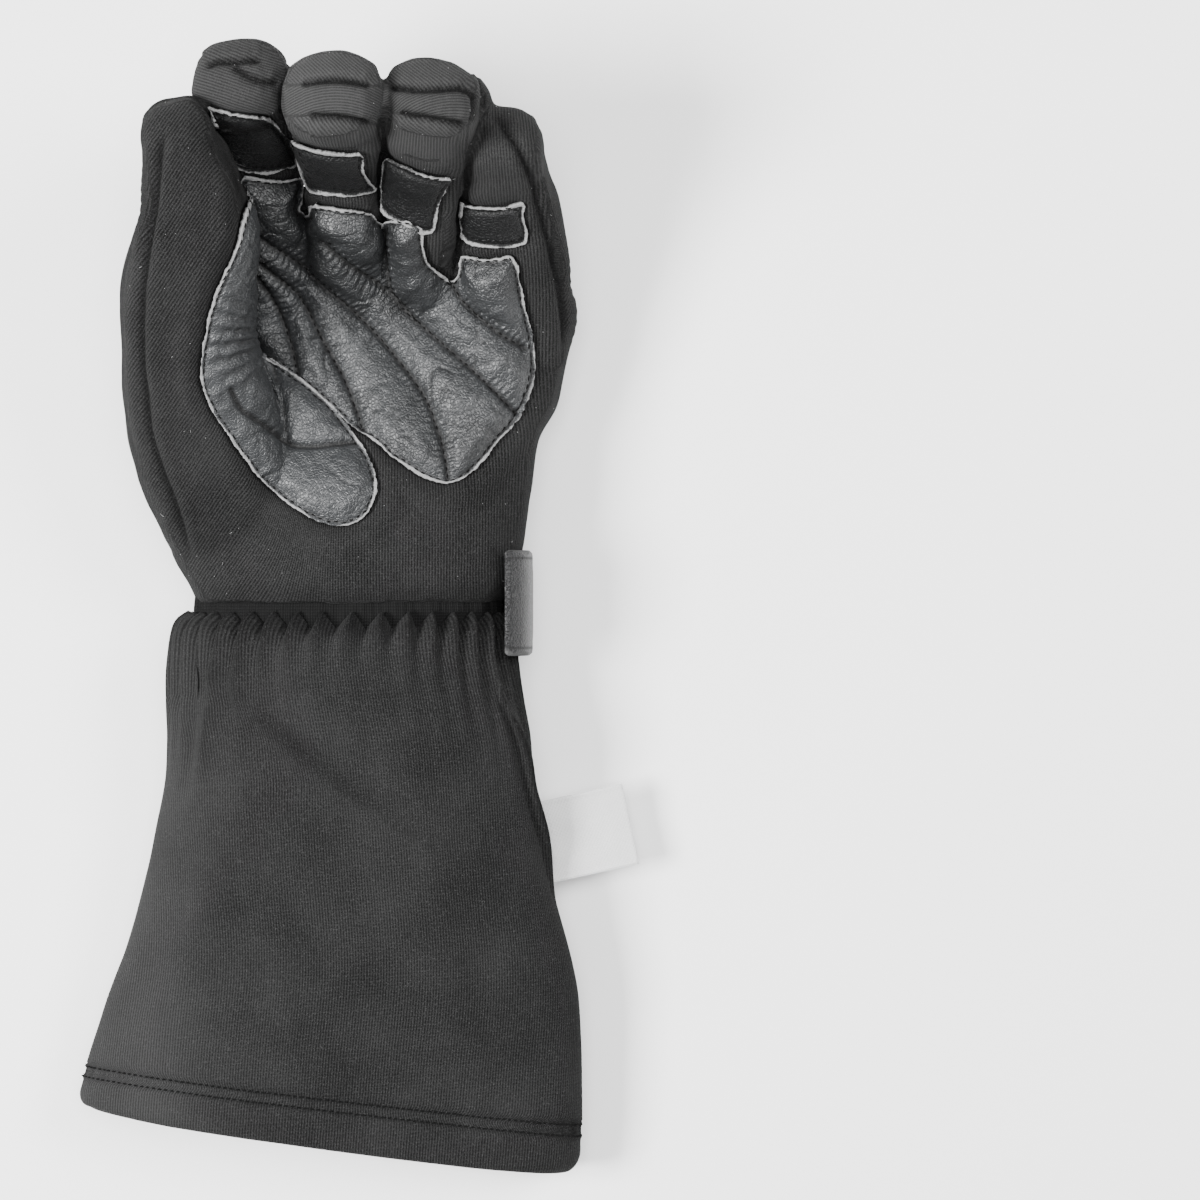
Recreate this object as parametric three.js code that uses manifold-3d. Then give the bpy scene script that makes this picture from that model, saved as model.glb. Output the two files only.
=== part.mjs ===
// A drag racing glove for the left hand, lying on its back with the palm up and
// the fingers curled. The fingers point along +Y, the thumb is on the -X side
// and +Z is up. Sizes are in millimetres.
import * as THREE from "three";
import { mergeVertices } from "three/addons/utils/BufferGeometryUtils.js";
import Module from "manifold-3d";

const wasm = await Module();
wasm.setup();

// Driving dimensions.
const palmLength = 112; // wrist seam to the crotch of the middle finger
const palmWidth = 103; // across the palm at the wrist
const palmHeight = 46; // back of the hand to the palm
const fingerWidth = 28.6; // widest, near the tip of the middle finger
const fingerLength = 93; // middle finger, knuckle to the centre of its tip
const thumbWidth = 39; // across the thumb at its first joint
const knitWall = 4; // padded knit of the hand
const cuffWall = 3; // double knit of the cuff
const cuffLength = 165; // wrist seam to hem
const cuffWidth = 157; // across the hem
const cuffHeight = 50; // height of the cuff where it leaves the wrist
const leather = 1.4; // thickness of the leather pieces
const seatGap = 0.3; // between pieces that are sewn to each other
const elasticLength = 6; // wrist elastic, along the arm
const strapWidth = 32;
const strapThickness = 2.4;
const labelWidth = 28;
const labelLength = 26;
const labelThickness = 0.8;

// Sections of the hand from the wrist seam to the finger crotches. The column
// at is a share of palmLength, left and right are shares of palmWidth, bottom,
// top and cup are shares of palmHeight, and lean is how far the section turns
// back on the little finger's side.
const handSections = [
  { at: 0, left: -0.37, right: 0.53, bottom: 0.12, top: 1.02, cup: 0, lean: 0 },
  { at: 0.035, left: -0.385, right: 0.553, bottom: 0.1, top: 1.1, cup: 0, lean: 0 },
  { at: 0.07, left: -0.405, right: 0.572, bottom: 0.085, top: 1.13, cup: 0, lean: 0 },
  { at: 0.125, left: -0.44, right: 0.585, bottom: 0.08, top: 1.13, cup: 0, lean: 0 },
  { at: 0.19, left: -0.45, right: 0.6, bottom: 0.07, top: 1.12, cup: 0.01, lean: 0 },
  { at: 0.3, left: -0.43, right: 0.618, bottom: 0, top: 1.09, cup: 0.03, lean: 0 },
  { at: 0.45, left: -0.39, right: 0.638, bottom: -0.05, top: 1.04, cup: 0.09, lean: 0 },
  { at: 0.55, left: -0.36, right: 0.687, bottom: -0.05, top: 1.01, cup: 0.13, lean: 0.02 },
  { at: 0.68, left: -0.33, right: 0.716, bottom: -0.05, top: 0.98, cup: 0.17, lean: 0.06 },
  { at: 0.82, left: -0.272, right: 0.743, bottom: 0.02, top: 0.98, cup: 0.15, lean: 0.14 },
  { at: 0.93, left: -0.243, right: 0.752, bottom: 0.17, top: 1, cup: 0.06, lean: 0.24 },
  { at: 1, left: -0.204, right: 0.72, bottom: 0.35, top: 0.98, cup: 0, lean: 0.3 },
];

// Fingers. The knuckle's x is a share of palmWidth, its y of palmLength and its
// z of palmHeight; the three lengths are shares of fingerLength; lift holds the
// angles in degrees of the three bones above the palm, and lean the angle in
// degrees towards the little finger; root, middle and tip are widths as shares
// of fingerWidth; and pad holds where its leather pad starts and ends along the
// finger and the angles that it spans round it.
const fingers = [
  { name: "index", x: -0.126, y: 0.804, z: 0.609, bones: [0.555, 0.29, 0.09], lift: [30, 50, 84], lean: -6.8, root: 0.75, middle: 0.86, tip: 1, pad: [0.69, 0.9, -46, 44] },
  { name: "middle", x: 0.087, y: 0.848, z: 0.587, bones: [0.538, 0.323, 0.14], lift: [44, 62, 80], lean: -2.4, root: 0.75, middle: 0.86, tip: 1, pad: [0.59, 0.85, -50, 46] },
  { name: "ring", x: 0.268, y: 0.83, z: 0.565, bones: [0.467, 0.31, 0.165], lift: [45, 51, 70], lean: 8.4, root: 0.75, middle: 0.84, tip: 0.96, pad: [0.525, 0.82, -58, 36] },
  { name: "little", x: 0.572, y: 0.75, z: 0.587, bones: [0.398, 0.226, 0.118], lift: [30, 45, 62], lean: -4, root: 1.18, middle: 1.1, tip: 0.87, pad: [0.56, 0.8, -64, 27] },
];

// The thumb's path and sections, from inside the ball of the thumb to its tip.
// x is a share of palmWidth, y of palmLength, z of palmHeight, and across and
// tall are half sizes as shares of thumbWidth.
const thumbSections = [
  { x: -0.233, y: 0.196, z: 0.609, across: 0.56, tall: 0.48 },
  { x: -0.311, y: 0.366, z: 0.783, across: 0.6, tall: 0.51 },
  { x: -0.364, y: 0.545, z: 0.978, across: 0.56, tall: 0.5 },
  { x: -0.383, y: 0.714, z: 1.196, across: 0.507, tall: 0.475 },
  { x: -0.375, y: 0.848, z: 1.391, across: 0.49, tall: 0.46 },
  { x: -0.338, y: 1.009, z: 1.63, across: 0.427, tall: 0.42 },
  { x: -0.354, y: 1.107, z: 1.761, across: 0.345, tall: 0.37 },
  { x: -0.379, y: 1.214, z: 1.913, across: 0.275, tall: 0.31 },
];
const thumbCut = 0.56; // where the thumb's own knit begins along its path

// The thumb's leather between two angles, in degrees from the upward side round
// towards the fingers, along the thumb's path.
const thumbLeatherSides = [
  { at: 0.36, from: 14, to: 92 },
  { at: 0.48, from: 21, to: 104 },
  { at: 0.6, from: 30, to: 118 },
  { at: 0.72, from: 38, to: 126 },
  { at: 0.82, from: 52, to: 120 },
  { at: 0.9, from: 68, to: 104 },
];

// The cuff from the wrist to the hem. The column at is a share of cuffLength,
// left and right are shares of cuffWidth, bottom and top of cuffHeight, turn is
// the slope of the edge across the cuff and gather the depth of the gathers as
// a share of cuffHeight.
const cuffSections = [
  { at: 0, left: -0.255, right: 0.35, bottom: 0.11, top: 0.94, turn: 0, gather: 0.01 },
  { at: 0.02, left: -0.279, right: 0.362, bottom: 0.1, top: 1.02, turn: 0, gather: 0.032 },
  { at: 0.06, left: -0.291, right: 0.366, bottom: 0.08, top: 1.04, turn: 0, gather: 0.034 },
  { at: 0.14, left: -0.301, right: 0.382, bottom: 0.03, top: 1, turn: 0.01, gather: 0.02 },
  { at: 0.22, left: -0.306, right: 0.404, bottom: -0.01, top: 0.97, turn: 0.02, gather: 0.006 },
  { at: 0.32, left: -0.312, right: 0.418, bottom: -0.04, top: 0.92, turn: 0.03, gather: 0 },
  { at: 0.48, left: -0.344, right: 0.452, bottom: -0.04, top: 0.87, turn: 0.05, gather: 0 },
  { at: 0.66, left: -0.389, right: 0.495, bottom: -0.04, top: 0.8, turn: 0.08, gather: 0 },
  { at: 0.84, left: -0.45, right: 0.502, bottom: -0.04, top: 0.73, turn: 0.11, gather: 0 },
  { at: 1, left: -0.494, right: 0.5, bottom: -0.04, top: 0.68, turn: 0.128, gather: 0 },
];
const gathers = 26;

// Outlines in plan, x as a share of palmWidth and y as a share of palmLength.
const palmOutline = [
  [-0.207, 0.736], [-0.149, 0.649], [0.13, 0.447], [0.262, 0.355], [0.37, 0.315],
  [0.496, 0.407], [0.584, 0.514], [0.628, 0.628], [0.617, 0.736], [0.587, 0.843],
  [0.573, 0.94], [0.408, 0.946], [0.403, 0.902], [0.37, 0.879], [0.338, 0.919],
  [0.303, 0.975], [0.197, 0.982], [0.188, 0.99], [0.159, 1.045], [-0.025, 1.05],
  [-0.022, 1.018], [-0.066, 1.045], [-0.06, 1.125], [-0.216, 1.13],
];
const thumbLobeOutline = [
  [-0.337, 0.57], [-0.273, 0.463], [-0.171, 0.329], [-0.025, 0.228], [0.077, 0.209],
  [0.144, 0.244], [0.167, 0.303], [0.155, 0.356], [0.097, 0.457], [0.033, 0.529],
  [-0.127, 0.63], [-0.165, 0.68], [-0.215, 0.72], [-0.331, 0.677],
];

// The wrist strap's middle line round the little finger's side and under the
// wrist, x as a share of palmWidth and z as a share of palmHeight.
const strapLine = [
  [0.54, 0.97], [0.588, 0.84], [0.607, 0.6], [0.598, 0.27], [0.55, 0.09], [0.47, 0.028], [0.3, 0.028], [-0.29, 0.028],
];

const knit = new THREE.MeshStandardMaterial({ color: 0x1b1b1c, roughness: 0.95, metalness: 0 });
const cuffKnit = new THREE.MeshStandardMaterial({ color: 0x29292a, roughness: 0.95, metalness: 0 });
const hide = new THREE.MeshStandardMaterial({ color: 0x3a3d3f, roughness: 0.5, metalness: 0 });
const blackHide = new THREE.MeshStandardMaterial({ color: 0x191a1c, roughness: 0.45, metalness: 0 });
const webbing = new THREE.MeshStandardMaterial({ color: 0x202021, roughness: 0.9, metalness: 0 });
const whiteCloth = new THREE.MeshStandardMaterial({ color: 0xe9eaec, roughness: 0.8, metalness: 0 });

// Every column of a table at one value of its column at, joined smoothly.
function rowAt(table, at) {
  const last = table.length - 1;
  let i = 0;
  while (i < last - 1 && table[i + 1].at <= at) i++;
  const [a, b] = [table[i], table[i + 1]];
  const [before, after] = [table[Math.max(i - 1, 0)], table[Math.min(i + 2, last)]];
  const span = b.at - a.at;
  const t = THREE.MathUtils.clamp((at - a.at) / span, 0, 1);
  const row = {};
  for (const key of Object.keys(a)) {
    const slopeA = ((b[key] - before[key]) / (b.at - before.at)) * span;
    const slopeB = ((after[key] - a[key]) / (after.at - a.at)) * span;
    row[key] =
      a[key] * (2 * t ** 3 - 3 * t ** 2 + 1) + slopeA * (t ** 3 - 2 * t ** 2 + t) +
      b[key] * (3 * t ** 2 - 2 * t ** 3) + slopeB * (t ** 3 - t ** 2);
  }
  return row;
}

// A closed mesh through rings of points, each end closed by a fan.
function loft(rings) {
  const count = rings[0].length;
  const middles = [rings[0], rings.at(-1)].map((ring) =>
    ring.reduce((sum, point) => sum.add(point), new THREE.Vector3()).divideScalar(count));
  const points = [...rings.flat(), ...middles];
  const faces = [];
  const end = (rings.length - 1) * count;
  for (let i = 0; i < count; i++) {
    const j = (i + 1) % count;
    for (let row = 0; row < end; row += count)
      faces.push(row + i, row + j, row + count + i, row + j, row + count + j, row + count + i);
    faces.push(points.length - 2, j, i, points.length - 1, end + i, end + j);
  }
  const geometry = new THREE.BufferGeometry().setFromPoints(points);
  geometry.setIndex(faces);
  return geometry;
}

// A three.js geometry as a solid that can be joined and cut.
function solid(geometry) {
  const bare = geometry.clone();
  bare.deleteAttribute("normal");
  bare.deleteAttribute("uv");
  const merged = mergeVertices(bare, 1e-4);
  const make = (triVerts) =>
    new wasm.Manifold(new wasm.Mesh({ numProp: 3, vertProperties: merged.attributes.position.array, triVerts }));
  const made = make(new Uint32Array(merged.index.array));
  return made.volume() > 0 ? made : make(new Uint32Array(merged.index.array).reverse());
}

const union = (solids) => solids.reduce((sum, one) => sum.add(one));

// The largest body of a solid, without loose slivers.
const largest = (one) => one.decompose().sort((a, b) => b.volume() - a.volume())[0];

function geometryOf(one) {
  const { numProp, vertProperties, triVerts } = one.getMesh();
  const positions = new Float32Array((vertProperties.length / numProp) * 3);
  for (let i = 0; i < positions.length / 3; i++)
    positions.set(vertProperties.subarray(i * numProp, i * numProp + 3), i * 3);
  const geometry = new THREE.BufferGeometry();
  geometry.setAttribute("position", new THREE.BufferAttribute(positions, 3));
  geometry.setIndex([...triVerts]);
  const flat = geometry.toNonIndexed();
  flat.computeVertexNormals();
  return flat;
}

// cos or sin with its corners filled out, so that a section is rounder than a
// rectangle and fuller than an ellipse.
const filled = (value, fullness = 0.87) => Math.sign(value) * Math.abs(value) ** fullness;

// The hand as a solid. Every section grows outwards by grow, and the open end
// starts at the share from.
function hand(grow, columns, rows, from = 0) {
  const rings = [];
  const first = from * palmLength;
  const last = palmLength + grow;
  for (let row = 0; row <= rows; row++) {
    const y = THREE.MathUtils.lerp(first, last, row / rows);
    const size = rowAt(handSections, (y / last) * (last > 0 ? 1 : 0));
    const halfX = ((size.right - size.left) * palmWidth) / 2 + grow;
    const halfZ = ((size.top - size.bottom) * palmHeight) / 2 + grow;
    const midX = ((size.right + size.left) * palmWidth) / 2;
    const midZ = ((size.top + size.bottom) * palmHeight) / 2;
    rings.push(Array.from({ length: columns }, (_, i) => {
      const angle = (i / columns) * 2 * Math.PI;
      const x = midX + halfX * filled(Math.cos(angle));
      const hollow = size.cup * palmHeight * Math.max(Math.sin(angle), 0) *
        Math.exp(-(((x - 0.2 * palmWidth) / (0.28 * palmWidth)) ** 2));
      const z = midZ + halfZ * filled(Math.sin(angle)) - hollow;
      return new THREE.Vector3(x, y - size.lean * Math.max(x - 0.2 * palmWidth, 0), Math.max(z, -grow));
    }));
  }
  return solid(loft(rings));
}

// A digit is a curve with a half width and a half height at each share of it,
// and the length of its round tip.
function fingerDigit({ x, y, z, bones, lift, lean, root, middle, tip }) {
  const knuckle = new THREE.Vector3(x * palmWidth, y * palmLength, z * palmHeight);
  const way = (angle) => {
    const [up, side] = [angle, lean].map(THREE.MathUtils.degToRad);
    return new THREE.Vector3(Math.sin(side) * Math.cos(up), Math.cos(side) * Math.cos(up), Math.sin(up));
  };
  const points = [knuckle.clone().addScaledVector(way(lift[0] - 25), -0.14 * fingerLength), knuckle];
  bones.forEach((bone, i) => {
    const start = points.at(-1);
    points.push(start.clone().addScaledVector(way(lift[i]), (bone / 2) * fingerLength));
    points.push(start.clone().addScaledVector(way(lift[i]), bone * fingerLength));
  });
  const widths = [
    { at: 0, width: 0.86 * root }, { at: 0.25, width: root }, { at: 0.62, width: middle },
    { at: 0.86, width: tip }, { at: 1, width: tip },
  ];
  return {
    curve: new THREE.CatmullRomCurve3(points, false, "centripetal"),
    half: (t) => {
      const width = rowAt(widths, t).width * fingerWidth * 0.5;
      return [width, THREE.MathUtils.lerp(0.42, 0.44, t) * fingerWidth * Math.min(1, 0.3 + 0.7 * tip)];
    },
    cap: 0.34 * fingerWidth,
  };
}

function thumbDigit() {
  const points = thumbSections.map(({ x, y, z }) =>
    new THREE.Vector3(x * palmWidth, y * palmLength, z * palmHeight));
  const curve = new THREE.CatmullRomCurve3(points, false, "centripetal");
  const lengths = [0];
  for (let i = 1; i < points.length; i++) lengths.push(lengths[i - 1] + points[i].distanceTo(points[i - 1]));
  const table = thumbSections.map(({ across, tall }, i) => ({ at: lengths[i] / lengths.at(-1), across, tall }));
  return {
    curve,
    half: (t) => {
      const { across, tall } = rowAt(table, t);
      return [across * thumbWidth, tall * thumbWidth];
    },
    cap: 0.29 * thumbWidth,
  };
}

// The middle of a digit at a share of its curve, with the directions along it,
// across it and up out of it.
function frameOf({ curve }, t) {
  const along = curve.getTangentAt(t);
  const up = new THREE.Vector3(0, 0, 1).addScaledVector(along, -along.z).normalize();
  return { middle: curve.getPointAt(t), along, up, across: along.clone().cross(up) };
}

function digitSolid(digit, grow, columns, rows) {
  const rings = [];
  const ring = ({ middle, across, up }, [width, height]) =>
    Array.from({ length: columns }, (_, i) => {
      const angle = ((i + 0.5) / columns) * 2 * Math.PI;
      return middle.clone()
        .addScaledVector(across, width * filled(Math.cos(angle)))
        .addScaledVector(up, height * filled(Math.sin(angle)));
    });
  for (let row = 0; row <= rows; row++) {
    const t = row / rows;
    rings.push(ring(frameOf(digit, t), digit.half(t).map((half) => half + grow)));
  }
  const end = frameOf(digit, 1);
  for (const share of [0.35, 0.65, 0.86, 0.97]) {
    const middle = end.middle.clone().addScaledVector(end.along, share * (digit.cap + grow));
    const scale = (1 - share ** 2.4) ** (1 / 2.4);
    rings.push(ring({ ...end, middle }, digit.half(1).map((half) => (half + grow) * scale)));
  }
  return solid(loft(rings));
}

// A large block whose face crosses a digit at a share of its curve, on the
// side of the tip.
function beyond(digit, t, shift = 0) {
  const { middle, along, up, across } = frameOf(digit, t);
  const reach = 400;
  const block = new THREE.BoxGeometry(reach, reach, reach);
  block.translate(0, 0, reach / 2 + shift);
  block.applyMatrix4(new THREE.Matrix4().makeBasis(across, up.clone(), along.clone().negate())
    .multiply(new THREE.Matrix4().makeScale(1, 1, -1)));
  block.translate(middle.x, middle.y, middle.z);
  return solid(block);
}

// A wedge round a digit between two angles from its upward side.
function wedge(digit, table, rows, reach) {
  const rings = [];
  const [first, last] = [table[0].at, table.at(-1).at];
  for (let row = 0; row <= rows; row++) {
    const t = THREE.MathUtils.lerp(first, last, row / rows);
    const { from, to } = rowAt(table, t);
    const { middle, up, across } = frameOf(digit, t);
    const ring = [middle.clone()];
    for (let i = 0; i <= 6; i++) {
      const angle = THREE.MathUtils.degToRad(THREE.MathUtils.lerp(from, to, i / 6));
      ring.push(middle.clone()
        .addScaledVector(up, reach * Math.cos(angle))
        .addScaledVector(across, reach * Math.sin(angle)));
    }
    rings.push(ring);
  }
  return solid(loft(rings));
}

// An outline in plan as an upright prism between two heights.
function prism(outline, low, high) {
  const shape = new THREE.Shape(outline.map(([x, y]) => new THREE.Vector2(x * palmWidth, y * palmLength)));
  const block = new THREE.ExtrudeGeometry(shape, { depth: high - low, bevelEnabled: false });
  return solid(block.translate(0, 0, low));
}

// The knit hand: one hollow shape, cut into the hand and its five digits.
const digits = Object.fromEntries(fingers.map((row) => [row.name, fingerDigit(row)]));
digits.thumb = thumbDigit();
const names = Object.keys(digits);
const sizeOf = (name) => (name === "thumb" ? [18, 12] : [14, 9]);
const insideOf = (name) => (name === "thumb" ? [12, 8] : [10, 7]);
const palmSize = [28, 14];
const grown = (name, grow) => digitSolid(digits[name], grow, ...sizeOf(name));
const cavity = (name) => digitSolid(digits[name], -knitWall, ...insideOf(name));
const tips = {};
const taken = [];
for (const name of names) {
  const digit = digits[name];
  const own = name === "thumb"
    ? grown(name, 0).intersect(beyond(digit, thumbCut))
    : grown(name, 0).subtract(hand(seatGap, ...palmSize));
  let tip = own.subtract(cavity(name));
  for (const other of taken) tip = tip.subtract(other);
  tips[name] = largest(tip);
  const room = grown(name, seatGap);
  taken.push(name === "thumb" ? room.intersect(beyond(digit, thumbCut, -seatGap)) : room);
}
const thumbBase = grown("thumb", 0).subtract(beyond(digits.thumb, thumbCut - 0.01));
const hollows = names.map((name) =>
  (name === "thumb" ? cavity(name).subtract(beyond(digits.thumb, thumbCut + 0.12)) : cavity(name)));
const handShell = largest(
  union([hand(0, ...palmSize), thumbBase])
    .subtract(union([hand(-knitWall, 18, 8, -0.05), ...hollows]))
    .subtract(taken.at(-1))
    .subtract(union(taken.slice(0, fingers.length)).subtract(hand(seatGap, ...palmSize))),
);

// The leather pieces lie on the knit: the space between the shape grown by the
// gap and the shape grown by the gap and the leather.
const skin = (shape) => shape(seatGap + leather).subtract(shape(seatGap));
const whole = (grow) => union([hand(grow, ...palmSize), ...names.map((name) => grown(name, grow))]);
const backOutline = new THREE.Shape([
  [-0.2, 0.43], [0.76, 0.565], [1.16, 1.3], [1.4, 1.3], [1.4, -1], [-0.2, -1],
].map(([y, z]) => new THREE.Vector2(y * palmLength, z * palmHeight)));
const backHalf = solid(
  new THREE.ExtrudeGeometry(backOutline, { depth: 3 * palmWidth, bevelEnabled: false })
    .applyMatrix4(new THREE.Matrix4().set(0, 0, 1, -1.5 * palmWidth, 1, 0, 0, 0, 0, 1, 0, 0, 0, 0, 0, 1)),
);
const thumbSide = wedge(digits.thumb, thumbLeatherSides, 12, 0.8 * thumbWidth);
const thumbLeather = largest(
  union([
    skin((grow) => grown("thumb", grow)).intersect(thumbSide).subtract(hand(seatGap, ...palmSize))
      .subtract(union(taken.slice(0, fingers.length))),
    skin(whole).intersect(prism(thumbLobeOutline, 0.55 * palmHeight, 3 * palmHeight)),
  ]),
);
const palmAndFingers = (grow) => union([hand(grow, ...palmSize), ...fingers.map(({ name }) => grown(name, grow))]);
const palmLeather = largest(
  skin(palmAndFingers).intersect(prism(palmOutline, -palmHeight, 3 * palmHeight)).subtract(backHalf)
    .subtract(prism(thumbLobeOutline, -palmHeight, 3 * palmHeight))
    .subtract(grown("thumb", leather + 2 * seatGap)),
);
const pads = Object.fromEntries(fingers.map(({ name, pad: [first, last, from, to] }) => [
  name,
  largest(skin((grow) => grown(name, grow)).intersect(
    wedge(digits[name], [{ at: first, from, to }, { at: last, from, to }], 5, 0.75 * fingerWidth))
    .subtract(union(names.flatMap((other, i) => (other === name ? [] : [taken[i]]))))),
]));

// The cuff and the wrist elastic: closed loops round the arm.
function cuffRing(at, grow, columns) {
  const size = rowAt(cuffSections, at);
  const halfX = ((size.right - size.left) * cuffWidth) / 2 + grow;
  const halfZ = ((size.top - size.bottom) * cuffHeight) / 2 + grow;
  const midX = ((size.right + size.left) * cuffWidth) / 2;
  const midZ = ((size.top + size.bottom) * cuffHeight) / 2;
  const start = -elasticLength - 2 * seatGap;
  return Array.from({ length: columns }, (_, i) => {
    const angle = (i / columns) * 2 * Math.PI;
    const wave = 1 + (size.gather * cuffHeight * Math.cos(gathers * angle - Math.PI / 3)) / halfZ;
    const x = midX + halfX * wave * filled(Math.cos(angle), 0.93);
    const z = midZ + halfZ * wave * filled(Math.sin(angle), 0.93);
    const y = start - at * (cuffLength + start) - size.turn * (x - midX);
    return new THREE.Vector3(x, y, Math.max(z, -grow));
  });
}
function cuffSolid(grow, columns, rows, ends) {
  const rings = [];
  for (let row = 0; row <= rows; row++) rings.push(cuffRing((row / rows) ** 1.35, grow, columns));
  for (const [end, side] of [[rings[0], 1], [rings.at(-1), -1]])
    for (const point of end) point.y += side * ends;
  return solid(loft(rings));
}
const gauntletCuff = largest(cuffSolid(0, 78, 9, 0).subtract(cuffSolid(-cuffWall, 32, 6, 3)));

function elasticSolid(grow, ends) {
  const top = cuffRing(0, grow, 39);
  const make = (y) => top.map(({ x, z }) => new THREE.Vector3(x, y, z));
  return solid(loft([make(-seatGap + ends), make(-seatGap - elasticLength - ends)]));
}
const wristElastic = elasticSolid(0, 0).subtract(elasticSolid(-cuffWall, 2));

// The strap: a flat band bent round the wrist.
const strapCurve = new THREE.CatmullRomCurve3(
  strapLine.map(([x, z]) => new THREE.Vector3(x * palmWidth, 0, z * palmHeight)), false, "centripetal");
const strapRings = [];
for (let row = 0; row <= 30; row++) {
  const middle = strapCurve.getPointAt(row / 30);
  middle.z = Math.max(middle.z, strapThickness / 2);
  const along = strapCurve.getTangentAt(row / 30);
  const out = new THREE.Vector3(0, 1, 0).cross(along).multiplyScalar(strapThickness / 2);
  strapRings.push([[-0.5, 1], [0.5, 1], [0.5, -1], [-0.5, -1]].map(([side, face]) =>
    middle.clone().addScaledVector(out, face).add(new THREE.Vector3(0, side * strapWidth, 0))));
}
const wristStrap = solid(loft(strapRings));

// The blank label, sewn into the seam at the cuff's side.
const labelBlock = new THREE.BoxGeometry(labelWidth + 8, labelLength, labelThickness)
  .translate((labelWidth - 8) / 2, 0, 0)
  .rotateY(THREE.MathUtils.degToRad(9))
  .rotateZ(THREE.MathUtils.degToRad(12))
  .translate(0.411 * cuffWidth, -0.45 * cuffLength, 0.36 * cuffHeight);
const label = largest(solid(labelBlock).subtract(cuffSolid(seatGap, 78, 9, 0)));

const pieces = [
  ["hand_shell", handShell, knit],
  ["index_finger", tips.index, knit],
  ["middle_finger", tips.middle, knit],
  ["ring_finger", tips.ring, knit],
  ["little_finger", tips.little, knit],
  ["thumb", tips.thumb, knit],
  ["palm_leather", palmLeather, hide],
  ["thumb_leather", thumbLeather, hide],
  ["index_pad", pads.index, hide],
  ["middle_pad", pads.middle, hide],
  ["ring_pad", pads.ring, hide],
  ["little_pad", pads.little, hide],
  ["wrist_elastic", wristElastic, webbing],
  ["gauntlet_cuff", gauntletCuff, cuffKnit],
  ["wrist_strap", wristStrap, blackHide],
  ["label", label, whiteCloth],
];

const glove = new THREE.Group();
glove.name = "drag_racing_glove";
const box = new THREE.Box3();
for (const [name, shape, material] of pieces) {
  const mesh = new THREE.Mesh(geometryOf(shape), material);
  mesh.name = name;
  glove.add(mesh);
  box.expandByObject(mesh);
}

// The origin is under the middle of the glove, on the surface that it lies on.
const centre = box.getCenter(new THREE.Vector3());
for (const mesh of glove.children) mesh.position.set(-centre.x, -centre.y, -box.min.z);

export default glove;
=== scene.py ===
import bpy
import numpy as np
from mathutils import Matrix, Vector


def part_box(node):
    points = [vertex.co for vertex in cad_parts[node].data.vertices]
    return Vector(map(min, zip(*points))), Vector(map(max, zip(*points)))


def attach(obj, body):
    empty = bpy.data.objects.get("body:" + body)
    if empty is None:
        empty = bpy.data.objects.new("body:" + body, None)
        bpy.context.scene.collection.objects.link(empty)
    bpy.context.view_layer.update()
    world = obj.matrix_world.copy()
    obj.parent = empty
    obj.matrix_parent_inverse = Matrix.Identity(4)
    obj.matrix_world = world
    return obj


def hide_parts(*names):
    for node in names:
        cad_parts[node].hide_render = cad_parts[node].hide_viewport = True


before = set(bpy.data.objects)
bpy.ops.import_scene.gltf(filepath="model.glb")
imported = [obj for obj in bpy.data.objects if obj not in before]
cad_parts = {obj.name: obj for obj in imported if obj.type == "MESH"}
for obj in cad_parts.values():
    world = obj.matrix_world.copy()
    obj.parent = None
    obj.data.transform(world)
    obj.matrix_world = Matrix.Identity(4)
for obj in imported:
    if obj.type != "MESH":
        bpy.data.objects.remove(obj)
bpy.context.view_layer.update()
scene = bpy.context.scene
chance = np.random.default_rng(12)

# Shapes are worked out in millimetres from the wrist seam, fingers along +Y, and put in the
# part's frame by shift: the strap is centred on the seam and the hem lies evenly round x = 0.47.
strapLow, strapHigh = (np.array(c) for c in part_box("wrist_strap"))
hemLow, hemHigh = (np.array(c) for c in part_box("gauntlet_cuff"))
shift = np.array([hemLow[0] + 0.07756, (strapLow[1] + strapHigh[1]) / 2, 0]) * 1000
eye = np.array([84.3, 0.9, 1500])  # the camera

sizes = dict(palmLength=112, palmWidth=103, palmHeight=46, fingerWidth=28.6, fingerLength=93, thumbWidth=39,
             cuffWall=3, cuffLength=165, cuffWidth=157, cuffHeight=50, elasticLength=6, seatGap=0.3)


# Curves and lines.

def rowAt(table, at):
    # every column of a table at the values at, joined by cubic pieces through its rows
    rows = np.array(table, float)
    last = len(rows) - 1
    i = np.clip(np.searchsorted(rows[:, 0], at, side="right") - 1, 0, last - 1)
    a, b, before, after = rows[i], rows[i + 1], rows[np.maximum(i - 1, 0)], rows[np.minimum(i + 2, last)]
    span = (b - a)[..., :1]
    t = np.clip((at - a[..., 0]) / span[..., 0], 0, 1)[..., None]
    slopeA = (b - before) / (b - before)[..., :1] * span
    slopeB = (after - a) / (after - a)[..., :1] * span
    return (a * (2 * t**3 - 3 * t**2 + 1) + slopeA * (t**3 - 2 * t**2 + t)
            + b * (3 * t**2 - 2 * t**3) + slopeB * (t**3 - t**2))[..., 1:]


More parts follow.
